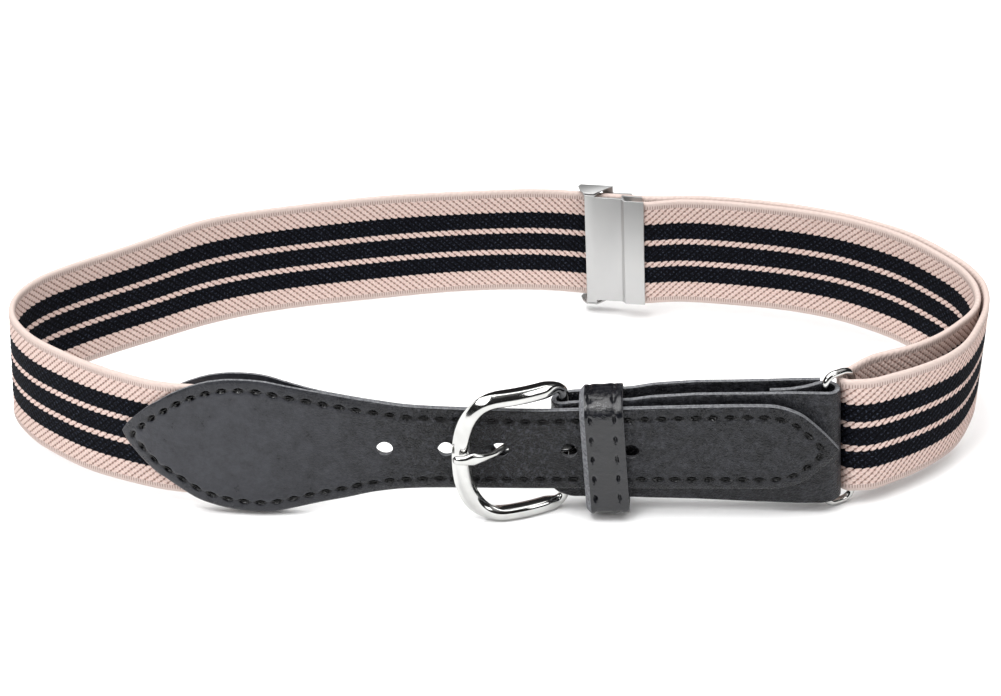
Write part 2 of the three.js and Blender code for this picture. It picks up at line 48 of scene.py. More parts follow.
turn, rise = math.radians(VIEW["turn"]), math.radians(VIEW["rise"])
back = Vector((math.sin(turn) * math.cos(rise), -math.cos(turn) * math.cos(rise), math.sin(rise)))
level = Vector((math.cos(turn), math.sin(turn), 0))
upright = level.cross(-back)
right = math.cos(VIEW["roll"]) * level + math.sin(VIEW["roll"]) * upright
up = -math.sin(VIEW["roll"]) * level + math.cos(VIEW["roll"]) * upright
bpy.ops.object.camera_add()
camera = bpy.context.object
camera.name = "camera"
camera.matrix_world = Matrix.Translation(Vector(VIEW["target"]) * MM + back * VIEW["distance"] * MM) \
    @ Matrix((right, up, back)).transposed().to_4x4()
camera.data.sensor_width = LENS["sensor"]
camera.data.lens = LENS["focal_px"] / LENS["image_width_px"] * LENS["sensor"]
bpy.context.scene.camera = camera
bpy.context.scene.view_settings.view_transform = "Standard"


# Floor: a sheet of matt white studio paper, large enough to fill the view from any side.
def linear(code, alpha=1.0):
    """An sRGB hex colour as the linear values that the shaders take."""
    parts = [int(code[i:i + 2], 16) / 255 for i in (1, 3, 5)]
    return (*[c / 12.92 if c <= 0.04045 else ((c + 0.055) / 1.055) ** 2.4 for c in parts], alpha)


def add(tree, kind, inputs=(), ramp=(), **settings):
    """Adds a node and gives its outputs. Its inputs, by name or in a list, are values or the sockets that
    feed them, and a ramp's stops are places and hex colours."""
    made = tree.nodes.new("ShaderNode" + kind)
    for name, value in settings.items():
        setattr(made, name, value)
    for name, value in inputs.items() if isinstance(inputs, dict) else enumerate(inputs):
        if isinstance(value, bpy.types.NodeSocket):
            tree.links.new(value, made.inputs[name])
        else:
            made.inputs[name].default_value = value
    for i, (place, colour) in enumerate(ramp):
        stop = made.color_ramp.elements[i] if i < 2 else made.color_ramp.elements.new(place)
        stop.position, stop.color = place, linear(colour)
    return made.outputs


def new_material(name):
    """An empty material and its node tree."""
    made = bpy.data.materials.new(name)
    made.use_nodes = True
    made.node_tree.nodes.clear()
    return made, made.node_tree


def finish_material(tree, **sockets):
    """Ends a node tree in one principled shader with the given sockets."""
    shader = add(tree, "BsdfPrincipled", {key.replace("_", " "): value for key, value in sockets.items()})
    add(tree, "OutputMaterial", {"Surface": shader[0]})


FLOOR_SIZE = 4000.0
paper, tree = new_material("matt_white_paper")
finish_material(tree, Base_Color=linear("#fcfcfc"), Roughness=0.9)
bpy.ops.mesh.primitive_plane_add(size=FLOOR_SIZE * MM)
floor = bpy.context.object
floor.name = "floor"
floor.data.materials.append(paper)

# Light: a dark studio with a pale horizon and a white ceiling. A broad soft box hangs overhead, two stand in
# front, and a small one high in front gives the buckle its brightest spots.
WALLS = [  # share of the way from straight down to straight up, and colour
    (0.0, "#707070"), (0.505, "#7c7c7c"), (0.55, "#282828"),
    (0.8, "#343434"), (0.9, "#d8d8d8"), (1.0, "#ffffff"),
]
SOFT_BOXES = [  # name, place, size, watts, aimed at
    ("overhead", (-100, -60, 900), 1300, 17.0, (0, 0, 0)),
    ("front_left", (-650, -800, 600), 420, 2.6, (0, -20, 15)),
    ("front_right", (750, -600, 520), 350, 1.4, (0, 0, 15)),
    ("high_front", (-150, -330, 640), 100, 1.0, (0, -20, 15)),
]
world = bpy.data.worlds.new("studio")
bpy.context.scene.world = world
world.use_nodes = True
tree = world.node_tree
tree.nodes.clear()
direction = add(tree, "SeparateXYZ", [add(tree, "TexCoord")["Generated"]])["Z"]
height = add(tree, "MapRange", {"Value": direction, "From Min": -1.0, "From Max": 1.0})[0]
walls = add(tree, "ValToRGB", [height], ramp=WALLS)[0]
add(tree, "OutputWorld", {"Surface": add(tree, "Background", {"Color": walls, "Strength": 1.0})[0]})
for name, place, size, watts, aim in SOFT_BOXES:
    bpy.ops.object.light_add(type="AREA", location=Vector(place) * MM)
    lamp = bpy.context.object
    lamp.name = name
    lamp.data.size = size * MM
    lamp.data.energy = watts
    lamp.rotation_euler = (Vector(place) - Vector(aim)).to_track_quat("Z", "Y").to_euler()

# Elastic: one length of striped woven webbing, an inch wide. It starts in the leaf, runs round the loop and
# through the ring, and doubles back inside itself into the adjuster. Its ribs slant across all the stripes.
ELASTIC = {"width": 25.4, "thick": 1.3}
RING = {"wire": 0.9, "room": 0.65, "half_height": 15.7, "spacing": 6.2, "bend": 2.2, "drop": 0.9,
        "left_x": 66.1, "right": (70.9, -31.6), "shown_wire": 0.74}
ADJUSTER = {"x": 23.5, "y": 41.6, "heading": -7.5, "lift": 0.3}
CHANNEL = {"mouth": 7.2, "end": 3.6, "inwards": 2.45}  # where the elastic's end lies in the adjuster
FIRST_RUN = [
    (-44.4, -38.7), (-55.2, -38.4), (-64.8, -37.2), (-72.4, -34.5), (-80.1, -30.8), (-86.9, -26.3),
    (-94.7, -19.6), (-100.1, -11.1), (-100.6, -3.7), (-97.5, 2.9), (-91.0, 9.3), (-76.9, 19.8),
    (-66.9, 27.2), (-56.9, 31.9), (-36.7, 37.7), (-16.1, 41.8), (1.9, 43.6), (10.0, 43.4),
    (14.3, 42.8), (17.8, 42.25), (20.9, 41.95), (24.7, 41.45), (29.9, 40.85), (33.8, 40.8),
    (37.6, 40.9), (41.8, 40.8), (52.2, 39.4), (62.4, 37.3), (71.8, 34.15), (78.75, 30.35),
    (85.8, 25.2), (92.2, 18.15), (96.4, 12.2), (98.6, 6.6), (99.1, 1.6), (98.7, -3.3),
    (97.5, -8.2), (93.8, -17.6), (90.0, -22.8), (84.6, -27.5), (79.0, -31.1), (75.0, -33.2),
]
LAST_RUN = [
    (75.4, -24.3), (82.0, -20.6), (88.0, -15.9), (92.6, -10.6), (95.5, -6.4), (96.95, -2.6),
    (97.3, 1.5), (96.8, 5.9), (94.8, 11.3), (90.8, 17.0), (84.5, 23.9), (77.8, 28.8),
    (71.1, 32.5), (61.9, 35.6), (51.8, 37.7), (41.6, 39.05), (37.2, 39.2), (33.6, 38.75),
]
ROUTE_STEP = 0.2
RIB = {"pitch": 1.55, "slant": 1.03, "relief": 0.2, "columns_each": 6, "until": 11.5, "selvedge": 0.75}
RIPPLES = ((0.12, 17.0, 0.0), (0.08, 6.3, 1.3))  # height, length to the radian and start, of worn webbing
LEAN = {"left": 4.0, "right": 2.8, "ring": -2.5}  # degrees that the webbing leans sideways
LEAN_RUNS = ((-62, -86), (72, 92), (30, 58), (74, 90))  # x where it sets in: left, right, ring, past it
RING_TURN = (-75, -250, 8)  # degrees where the elastic meets and leaves the ring, and its points between
WELD = 0.0005
SECTION_HEIGHTS = (-12.3, -11.7, -11.1, -9.0, -6.5, -4.0, -1.35, 1.35, 4.0, 6.5, 9.0, 11.1, 11.7, 12.3)
SELVEDGE = ((12.7, 0.3), (12.7, -0.3))  # height and offset of the woven edge's two points


def smoothstep(x, low, high):
    t = np.clip((np.asarray(x, float) - low) / (high - low), 0, 1)
    return t * t * (3 - 2 * t)


def smooth(rows, step):
    """Points every step along a centripetal curve through rows of x and y."""
    p = np.array(rows, float)
    p = np.vstack([2 * p[0] - p[1], p, 2 * p[-1] - p[-2]])
    fine = []
    for i in range(1, len(p) - 2):
        before, start, end, after = p[i - 1:i + 3]
        a, b, c = [math.sqrt(max(np.linalg.norm(q - r), 1e-6)) for q, r in
                   ((start, before), (end, start), (after, end))]
        leave = b * ((start - before) / a - (end - before) / (a + b) + (end - start) / b)
        arrive = b * ((end - start) / b - (after - start) / (b + c) + (after - end) / c)
        t = np.linspace(0, 1, 60, endpoint=False)[:, None]
        fine.append((2 * t**3 - 3 * t**2 + 1) * start + (t**3 - 2 * t**2 + t) * leave
                    + (3 * t**2 - 2 * t**3) * end + (t**3 - t**2) * arrive)
    fine = np.vstack([*fine, p[-2:-1]])
    length = np.r_[0, np.cumsum(np.linalg.norm(np.diff(fine, axis=0), axis=1))]
    places = np.linspace(0, length[-1], max(round(length[-1] / step), 1) + 1)
    return np.column_stack([np.interp(places, length, fine[:, j]) for j in range(fine.shape[1])])


def arc_points(x, y, radius, start, end, count=9):
    """Points round an arc that runs from one angle to another, in degrees."""
    return [(x + radius * math.cos(math.radians(a)), y + radius * math.sin(math.radians(a)))
            for a in np.linspace(start, end, count)]


def beside(route, distance):
    """The route moved to its right as it runs."""
    along = np.vstack([route[1:2] - route[:1], route[2:] - route[:-2], route[-1:] - route[-2:-1]])
    along /= np.linalg.norm(along, axis=1)[:, None]
    return route + np.column_stack([along[:, 1], -along[:, 0]]) * np.reshape(distance, (-1, 1))


def rotated(u, v, angle, x, y):
    """Two coordinates turned by an angle in radians and moved by x and y."""
    return x + u * math.cos(angle) - v * math.sin(angle), y + u * math.sin(angle) + v * math.cos(angle)


def leaning(places):
    """Places in mm sheared sideways: to the right at both ends of the loop, to the left round the ring."""
    x, y = places[..., 0], places[..., 1]
    left, right, ring, past_ring = [smoothstep(x, *run) for run in LEAN_RUNS]
    at_ring = np.where(y < 0, ring * (1 - past_ring), 0)
    degrees = LEAN["left"] * left + LEAN["right"] * right + LEAN["ring"] * at_ring
    moved = places.copy()
    moved[..., 0] += np.tan(np.radians(degrees)) * (places[..., 2] - MIDDLE_Z)
    return moved


def seal(open_ends=True):
    """Merges the active piece's doubles, fills its open ends and turns its faces outwards."""
    bpy.ops.object.mode_set(mode="EDIT")
    bpy.ops.mesh.select_all(action="SELECT")
    bpy.ops.mesh.remove_doubles(threshold=WELD * MM)
    if open_ends:
        bpy.ops.mesh.fill_holes(sides=0)
    bpy.ops.mesh.select_all(action="SELECT")
    bpy.ops.mesh.normals_make_consistent(inside=False)
    bpy.ops.object.mode_set(mode="OBJECT")


def wrapped_grid(name, places, slots=None, attributes=(), closed_ends=False, sharp=180):
    """A grid primitive laid over places[column, row] in mm. Its rows close round a section, and its two ends
    are filled, or joined where the run is a ring. Edges over sharp degrees stay sharp."""
    columns, rows = places.shape[0] - (0 if closed_ends else 1), places.shape[1]
    bpy.ops.mesh.primitive_grid_add(x_subdivisions=columns, y_subdivisions=rows, size=1)
    piece = bpy.context.object
    piece.name = piece.data.name = name
    mesh = piece.data
    flat = np.empty(len(mesh.vertices) * 3)
    mesh.vertices.foreach_get("co", flat)
    flat = flat.reshape(-1, 3)
    i = np.rint((flat[:, 0] + 0.5) * columns).astype(int) % places.shape[0]
    k = np.rint((flat[:, 1] + 0.5) * rows).astype(int) % rows
    if slots is not None:
        index = [slots[min(int((f.center[1] + 0.5) * rows), rows - 1)] for f in mesh.polygons]
        mesh.polygons.foreach_set("material_index", index)
    for key, values in dict(attributes).items():
        kind = "FLOAT_VECTOR" if values.ndim == 3 else "FLOAT"
        layer = mesh.attributes.new(key, kind, "POINT")
        layer.data.foreach_set("vector" if values.ndim == 3 else "value", values[i, k].ravel())
    mesh.vertices.foreach_set("co", (places[i, k] * MM).ravel())
    mesh.update()
    seal(open_ends=not closed_ends)
    bpy.ops.object.shade_smooth_by_angle(angle=math.radians(sharp))
    return piece


ring_turn = arc_points(*RING["right"], RING["wire"] + RING["room"] + ELASTIC["thick"] / 2, *RING_TURN)
heading = math.radians(ADJUSTER["heading"])
in_channel = [rotated(CHANNEL[place], -CHANNEL["inwards"], heading, ADJUSTER["x"], ADJUSTER["y"])
              for place in ("mouth", "end")]
elastic_route = smooth([*FIRST_RUN, *ring_turn, *LAST_RUN, *in_channel], ROUTE_STEP)
elastic_length = ROUTE_STEP * (len(elastic_route) - 1)
elastic_out = beside(elastic_route, 1.0) - elastic_route
steps = np.linspace(0, elastic_length, len(elastic_route))

beyond = ELASTIC["width"] / 2 * RIB["slant"]  # the slanting columns start and stop this far past the ends
count = round((elastic_length + 2 * beyond) / RIB["pitch"] * RIB["columns_each"])
column = np.linspace(-beyond, elastic_length + beyond, count + 1)[:, None]
half = ELASTIC["thick"] / 2 - RIB["relief"]
across = [(v, half, 1.0) for v in SECTION_HEIGHTS] + [(v, d, 0.0) for v, d in SELVEDGE]
across += [(v, -half, -1.0) for v in SECTION_HEIGHTS[::-1]] + [(-v, d, 0.0) for v, d in SELVEDGE[::-1]]
v, offset, side = [np.array(x)[None, :] for x in zip(*across)]
along = np.clip(column - v * RIB["slant"], 0, elastic_length)
phase = (along + v * RIB["slant"]) / RIB["pitch"]
profile = np.sqrt(np.clip(1 - (2 * (phase % 1) - 1) ** 2, 0, 1))
profile = np.where(abs(v) > RIB["until"], RIB["selvedge"], profile)
offset = offset + side * (RIB["relief"] * profile)
ripple = sum(height * np.sin(along / length + start) for height, length, start in RIPPLES)
plan = [np.interp(along, steps, elastic_route[:, j]) + offset * np.interp(along, steps, elastic_out[:, j])
        for j in (0, 1)]
places = np.stack([*plan, MIDDLE_Z + v + ripple * v / (ELASTIC["width"] / 2)], axis=-1)
weave = np.stack([along, v + 0 * along, side + 0 * along], axis=-1)
elastic = wrapped_grid("striped_elastic", leaning(places), attributes={"weave": weave})

# Webbing: dyed polyester over rubber, woven in slanting ribs. Light pink and near-black stripes meet in rows
# of rounded teeth, because each rib changes colour as a whole. Its floats are drawn 0.9 mm apart, twice the
# real spacing, so that they show. Its selvedge is a plain band with upright threads along its foot. The
# grooves between the ribs are painted darker as shade.
STRIPE = {"line": 2.72, "line_half": 0.2, "line_tooth": 0.5, "border": -7.85, "border_tooth": 0.55,
          "blur": 0.07}
FLOAT_RUN = 1.33  # up the belt, which is 0.9 mm square to the floats
SELVEDGE_LOOK = {"from": 11.0, "full": 11.25, "foot": 11.6, "plain": 12.1, "thread_pitch": 0.52}
webbing, tree = new_material("striped_polyester_webbing")
at = add(tree, "Attribute", attribute_name="weave")["Vector"]
weave = add(tree, "SeparateXYZ", [at])
wobble = add(tree, "TexNoise", {"Vector": at, "Scale": 0.9, "Detail": 1.0})[0]
lint = add(tree, "TexNoise", {"Vector": at, "Scale": 3.2, "Detail": 2.0})[0]
slanted = add(tree, "Math", [weave["Y"], RIB["slant"], weave["X"]], operation="MULTIPLY_ADD")[0]
slanted = add(tree, "Math", [wobble, 0.22, slanted], operation="MULTIPLY_ADD")[0]
share = add(tree, "Math", [slanted, 1 / RIB["pitch"]], operation="MULTIPLY")[0]
share = add(tree, "Math", [share], operation="FRACT")[0]
from_middle = add(tree, "Math", [share, 2.0, -1.0], operation="MULTIPLY_ADD")[0]
squared = add(tree, "Math", [from_middle, from_middle], operation="MULTIPLY")[0]
crown = add(tree, "Math", [1.0, squared], operation="SUBTRACT")[0]
crown = add(tree, "Math", [crown, 0.5], operation="POWER", use_clamp=True)[0]
from_centre = add(tree, "Math", [weave["Y"]], operation="ABSOLUTE")[0]
line = add(tree, "Math", [from_centre, STRIPE["line"]], operation="SUBTRACT")[0]
line = add(tree, "Math", [line], operation="ABSOLUTE")[0]
reach = add(tree, "Math", [crown, STRIPE["line_tooth"], STRIPE["line_half"]],
            operation="MULTIPLY_ADD")[0]
line = add(tree, "Math", [reach, line], operation="SUBTRACT")[0]
border = add(tree, "Math", [crown, STRIPE["border_tooth"], STRIPE["border"]],
             operation="MULTIPLY_ADD")[0]
border = add(tree, "Math", [from_centre, border], operation="ADD")[0]
pink = add(tree, "Math", [line, border], operation="MAXIMUM")[0]
pink = add(tree, "MapRange", {"Value": pink, "From Min": -STRIPE["blur"], "From Max": STRIPE["blur"]})[0]
down_rib = add(tree, "Math", [weave["X"], -RIB["slant"], weave["Y"]], operation="MULTIPLY_ADD")[0]
floats = add(tree, "Math", [down_rib, 2 * math.pi / FLOAT_RUN], operation="MULTIPLY")[0]
floats = add(tree, "Math", [floats], operation="SINE")[0]
deep = add(tree, "Math", [floats, 0.2, 0.74], operation="MULTIPLY_ADD")[0]
deep = add(tree, "Math", [deep, crown], operation="SUBTRACT")[0]
# Painted shade: the grooves between the ribs are coloured darker, most where the floats dip, in both the
# pink and the black yarn.
groove = add(tree, "MapRange", {"Value": deep, "From Min": -0.15, "From Max": 0.35})[0]
uneven = add(tree, "Math", [floats, 0.1, lint], operation="MULTIPLY_ADD")[0]
black_yarn = add(tree, "ValToRGB", [uneven], ramp=[
    (0.38, "#07080c"), (0.6, "#11131b"), (0.76, "#3c424f")])[0]
black_yarn = add(tree, "MixRGB", [groove, black_yarn, linear("#030304")])[0]
pink_yarn = add(tree, "ValToRGB", [uneven], ramp=[
    (0.32, "#c8ada4"), (0.66, "#dccac3")])[0]
pink_yarn = add(tree, "MixRGB", [groove, pink_yarn, linear("#80665d")])[0]
yarn = add(tree, "MixRGB", [pink, black_yarn, pink_yarn])[0]
turns = 2 * math.pi / SELVEDGE_LOOK["thread_pitch"]
upright = add(tree, "Math", [weave["X"], turns], operation="MULTIPLY")[0]
upright = add(tree, "Math", [upright], operation="SINE")[0]
foot = add(tree, "MapRange", {"Value": from_centre, "From Min": SELVEDGE_LOOK["plain"],
                              "From Max": SELVEDGE_LOOK["foot"]})[0]
upright = add(tree, "Math", [upright, foot], operation="MULTIPLY")[0]
edge_yarn = add(tree, "ValToRGB", [upright], ramp=[
    (0.0, "#c0afa8"), (0.6, "#93807a")])[0]
selvedge = add(tree, "MapRange", {"Value": from_centre, "From Min": SELVEDGE_LOOK["from"],
                                  "From Max": SELVEDGE_LOOK["full"]})[0]
yarn = add(tree, "MixRGB", [selvedge, yarn, edge_yarn])[0]
threads = add(tree, "Math", [floats, 0.5, lint], operation="MULTIPLY_ADD")[0]
bump = add(tree, "Bump", {"Height": threads, "Strength": 0.7, "Distance": 0.00008})[0]
finish_material(tree, Base_Color=yarn, Roughness=0.8, Normal=bump, Specular_IOR_Level=0.05)


def dress(piece, materials, node=None, body="belt"):
    """Gives a piece its materials, parents it to the body it rides on and hides the solid it stands for."""
    for material in materials:
        piece.data.materials.append(material)
    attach(piece, body)
    if node:
        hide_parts(node)


dress(elastic, [webbing], "elastic_strap")

# Leaf and strap: two layers of black coated leather with one outline, the elastic's end sewn in between.
# They are die-cut with raw edges, stitched 2.3 mm in with black thread and punched with five holes.
STRAP_Y = -38.8
STRAP_RUN = [(-72.8, -34.5), (-65.3, -37.2), (-55.7, -38.4), (-45.2, STRAP_Y), (-19.2, STRAP_Y),
             (68.6, -38.7)]
LEAF_AND_STRAP = [  # x, height above and depth below the elastic's middle
    (-72.9, 0.6, -0.6), (-71.3, 3.0, 2.5), (-67.5, 7.0, 6.8), (-64.7, 9.3, 8.8), (-61.9, 11.3, 10.8),
    (-58.7, 13.0, 13.0), (-55.0, 14.4, 14.4), (-51.4, 15.1, 15.2), (-47.5, 15.2, 15.6),
    (-43.5, 14.8, 15.6), (-39.5, 13.7, 14.9), (-34.5, 12.4, 13.8), (-29.0, 11.2, 12.6),
    (-22.0, 9.9, 10.9), (-13.0, 8.8, 10.0), (7.5, 8.3, 9.8), (20.0, 8.7, 9.6), (41.0, 9.6, 9.3),
    (53.0, 9.9, 9.2), (56.9, 9.5, 9.0), (60.4, 8.1, 8.0), (62.7, 6.3, 6.5), (65.3, 3.7, 4.0),
    (67.3, 1.4, 1.6), (68.3, 0.2, -0.2),
]
GAP = 0.3
LEATHER = 0.9
CUT_EDGE = 38  # degrees from which an edge of the leather stays sharp
STRAP_LIFT, LEAF_LIFT = 0.48, 1.45  # from the middle to a layer's middle, without the elastic and with it
LEAF_ENDS = (-47.0, -31.0)  # x where the layers start to close, and where they meet
STRAP_FACE = 1.15  # room that the other pieces leave from the strap's middle to each side
STATION_STEP = 0.34  # between columns along the strap, which are closer in its two points
POINT_RUN, POINT_STEPS, POINT_CROWDING = 3.0, 22, 1.6
STITCH = {"inset": 2.3, "pitch": 3.3, "long": 0.8, "wide": 0.48, "deep": 0.74,
          "thread": 0.18, "thinning": 0.45, "shown": 0.75, "sunk": 0.52, "dip": 0.22, "slack": 0.06}
EDGE = {"bevel": 0.14, "bevel_run": 0.45, "dome": 0.24, "dome_run": 1.9, "middle": 0.05, "bow": 0.03}
SEAM = {"deep": 0.06, "wide": 0.3, "welt": 0.07, "welt_inset": 0.9, "welt_wide": 0.45}
SHADE = {"line": 0.14, "line_wide": 0.28, "margin": 0.135, "fade": 0.2}  # painted shade along the seam line, and a slightly darker band outside the seam
HOLE = {"radius": 1.55, "widening": 0.25, "level": MIDDLE_Z - 0.6, "first": -20.6, "pitch": 12.1,
        "count": 5, "prong": 2, "rim": 0.16, "rim_wide": 0.35}
PUNCH_LENGTH = 12.0
PRONG_SLOTS = {1: (2.1, 1.7, 0.0), -1: (2.8, 1.7, 0.9)}  # x, half length and rise, in front and behind
ROW_INSETS = (0, 0.15, 0.35, 0.7, 1.15, 1.5, 1.75, 1.95, 2.12, 2.3, 2.48, 2.65, 2.85, 3.1, 3.5, 4.2,
              5.1, 6.2)


def spline(rows, per_span=24):
    """Points along a smooth curve through rows, evenly many between each two."""
    p = np.array(rows, float)
    p = np.vstack([p[:1], p, p[-1:]])
    t = np.linspace(0, 1, per_span, endpoint=False)[:, None]
    spans = [((2 * t**2 - t - t**3) * a + (3 * t**3 - 5 * t**2 + 2) * b + (4 * t**2 + t - 3 * t**3) * c
              + (t**3 - t**2) * d) / 2 for a, b, c, d in zip(p, p[1:], p[2:], p[3:])]
    return np.vstack([*spans, p[-1:]])


def resampled(route, pitch):
    """Places a whole number of equal pitches apart along a route, and the direction at each."""
    length = np.r_[0, np.cumsum(np.linalg.norm(np.diff(route, axis=0), axis=1))]
    at = np.arange(round(length[-1] / pitch)) * length[-1] / round(length[-1] / pitch)
    there = [np.column_stack([np.interp(at + d, length, c) for c in route.T]) for d in (-0.1, 0, 0.1)]
    along = there[2] - there[0]
    return there[1], along / np.linalg.norm(along, axis=1)[:, None]


def outline_distance(points, outline):
    """How far each point lies inside a closed outline's nearest side."""
    start, step = outline, np.roll(outline, -1, axis=0) - outline
    square = np.maximum((step**2).sum(1), 1e-9)
    nearest = np.full(len(points), 1e9)
    for a, d, s in zip(start, step, square):
        t = np.clip(((points - a) @ d) / s, 0, 1)
        nearest = np.minimum(nearest, np.linalg.norm(points - a - t[:, None] * d, axis=1))
    return nearest


def pits(points, centres, along):
    """Depth at each point of the pits that pulled stitches leave."""
    depth = np.zeros(len(points))
    for centre, t in zip(centres, along):
        d = points - centre
        a, b = d @ t / STITCH["long"], d @ (-t[1], t[0]) / STITCH["wide"]
        depth = np.maximum(depth, STITCH["deep"] * np.exp(-a**2 - b**2))
    return depth


def thread_row(name, starts, ends, normals):
    """Short lengths of thread that dive into a pit at both ends; one is modelled and copied."""
    segments, sides = 6, 6
    bpy.ops.mesh.primitive_grid_add(x_subdivisions=segments, y_subdivisions=sides, size=1)
    first = bpy.context.object
    flat = np.array([tuple(p.co) for p in first.data.vertices])
    t, angle = flat[:, 0] + 0.5, (flat[:, 1] + 0.5) * 2 * math.pi
    from_middle = 2 * t - 1
    dip = STITCH["dip"] * from_middle**4
    thin = STITCH["thread"] * (1 - STITCH["thinning"] * from_middle**6)
    for start, end, normal in zip(starts, ends, normals):
        one = bpy.data.objects.new(name, first.data.copy())
        bpy.context.scene.collection.objects.link(one)
        run = end - start
        aside = np.cross(run, normal)
        aside /= np.linalg.norm(aside)
        co = start + np.outer(t, run) - np.outer(dip, normal) \
            + np.outer(np.cos(angle) * thin, normal) + np.outer(np.sin(angle) * thin, aside)
        one.data.vertices.foreach_set("co", (co * MM).ravel())
        one.select_set(True)
    bpy.data.objects.remove(first, do_unlink=True)
    bpy.context.view_layer.objects.active = one
    bpy.ops.object.join()
    row = bpy.context.object
    row.name = row.data.name = name
    seal()
    bpy.ops.object.shade_smooth()
    return row


def cut(piece, cutter):
    """Takes a cutter's shape out of a piece and removes the cutter."""
    bpy.ops.object.select_all(action="DESELECT")
    piece.select_set(True)
    bpy.context.view_layer.objects.active = piece
    bpy.ops.object.modifier_add(type="BOOLEAN")
    piece.modifiers[-1].object = cutter
    piece.modifiers[-1].solver = "EXACT"
    bpy.ops.object.modifier_apply(modifier=piece.modifiers[-1].name)
    bpy.data.objects.remove(cutter, do_unlink=True)


# Coated leather: split hide with a thin black finish pressed with a fine grain, satin and faintly blue. The
# grain's pebbles are about 0.6 mm across; painted light and dark specks stand in for their glints and shade.
# The strap is darker, shinier and creased where it has been bent through the buckle, with more painted
# glints there.
# Each stitch's pit and the seam line are painted dark as shade and made smooth; the band outside the seam is
# darker.
BENT = {"x": 0.004, "to": 0.026, "full": 0.006}  # metres, as the shaders read places
FLAT_LEAF = {"from": -0.012, "full": -0.05}


def leather_material(name, face, rough, pebble, crease, bent_crease, gloss, edge_colour):
    made, tree = new_material(name)
    at = add(tree, "TexCoord")["Object"]
    x_place = add(tree, "SeparateXYZ", [at])["X"]
    bent = add(tree, "Math", [x_place, BENT["x"]], operation="SUBTRACT")[0]
    bent = add(tree, "Math", [bent], operation="ABSOLUTE")[0]
    bent = add(tree, "MapRange", {"Value": bent, "From Min": BENT["to"], "From Max": BENT["full"]})[0]
    flat = add(tree, "MapRange", {"Value": x_place, "From Min": FLAT_LEAF["from"],
                                  "From Max": FLAT_LEAF["full"]})[0]
    # Painted shade: the pressed attribute turns each stitch's pit and the seam line near black, and the band
    # outside the seam a little darker.
    pressed = add(tree, "Attribute", attribute_name="pressed")["Fac"]
    pressed = add(tree, "MapRange", {"Value": pressed, "From Min": 0.08, "From Max": 0.32})[0]
    grain = add(tree, "TexVoronoi", {"Vector": at, "Scale": 1 / 0.0006}, feature="DISTANCE_TO_EDGE")[0]
    grain = add(tree, "MapRange", {"Value": grain, "From Max": 0.25, "To Max": pebble})[0]
    smooth_leaf = add(tree, "Math", [flat, -0.85, 1.0], operation="MULTIPLY_ADD")[0]
    grain = add(tree, "Math", [grain, smooth_leaf], operation="MULTIPLY")[0]
    wear = add(tree, "TexNoise", {"Vector": at, "Scale": 1 / 0.003, "Detail": 5.0, "Roughness": 0.7})[0]
    # Painted glints and shade: fine light and dark specks in the colour, stronger where the strap is bent
    # and weaker on the leaf.
    painted_glints = add(tree, "TexNoise", {"Vector": at, "Scale": 1 / 0.0008, "Detail": 3.0, "Roughness": 0.7})[0]
    painted_glints = add(tree, "Math", [painted_glints, 0.5], operation="SUBTRACT")[0]
    painted_glint_amount = add(tree, "Math", [flat, -pebble, 1.25 * pebble], operation="MULTIPLY_ADD")[0]
    painted_glint_amount = add(tree, "Math", [bent, 1.8 * pebble, painted_glint_amount], operation="MULTIPLY_ADD")[0]
    shade = add(tree, "Math", [painted_glints, painted_glint_amount, wear], operation="MULTIPLY_ADD")[0]
    shade = add(tree, "Math", [flat, 0.32, shade], operation="MULTIPLY_ADD")[0]
    shade = add(tree, "Math", [bent, -0.2, shade], operation="MULTIPLY_ADD")[0]
    colour = add(tree, "ValToRGB", [shade], ramp=[(0.35, face[0]), (0.95, face[1])])[0]
    colour = add(tree, "MixRGB", [pressed, colour, linear("#030304")])[0]
    shine = add(tree, "MapRange", {"Value": wear, "From Min": 0.3, "From Max": 0.7,
                                   "To Min": rough[0], "To Max": rough[1]})[0]
    shine = add(tree, "Math", [bent, -0.16, shine], operation="MULTIPLY_ADD")[0]
    shine = add(tree, "MixRGB", [pressed, shine, (0.14, 0.14, 0.14, 1)])[0]
    creased = add(tree, "Math", [bent, bent_crease, crease], operation="MULTIPLY_ADD")[0]
    height = add(tree, "Math", [wear, creased, grain], operation="MULTIPLY_ADD")[0]
    bump = add(tree, "Bump", {"Height": height, "Strength": 0.9, "Distance": 0.0001})[0]
    finish_material(tree, Base_Color=colour, Roughness=shine, Normal=bump, Specular_IOR_Level=gloss)
    edge, tree = new_material(name + "_raw_edge")
    at = add(tree, "TexCoord")["Object"]
    fibre = add(tree, "TexNoise", {"Vector": at, "Scale": 1 / 0.0006, "Detail": 5.0, "Roughness": 0.8})[0]
    colour = add(tree, "ValToRGB", [fibre], ramp=[
        (0.35, edge_colour[0]), (0.65, edge_colour[1])])[0]
    bump = add(tree, "Bump", {"Height": fibre, "Strength": 0.8, "Distance": 0.00015})[0]
    finish_material(tree, Base_Color=colour, Roughness=0.9, Normal=bump, Specular_IOR_Level=0.2)
    return made, edge


strap_leather, strap_edge = leather_material(
    "black_coated_leather", face=("#111215", "#35363b"), rough=(0.26, 0.4), pebble=1.1, crease=1.5,
    bent_crease=16.0, gloss=0.24, edge_colour=("#434447", "#818285"))

# Sewing thread: black bonded nylon, 0.4 mm thick, glossy where it is pulled tight.
thread, tree = new_material("black_bonded_nylon_thread")
at = add(tree, "TexCoord")["Object"]
twist = add(tree, "TexWave", {"Vector": at, "Scale": 1 / 0.0012, "Distortion": 1.0})[1]
bump = add(tree, "Bump", {"Height": twist, "Strength": 0.4, "Distance": 0.00005})[0]
finish_material(tree, Base_Color=linear("#060607"), Roughness=0.22, Normal=bump, Specular_IOR_Level=0.3)

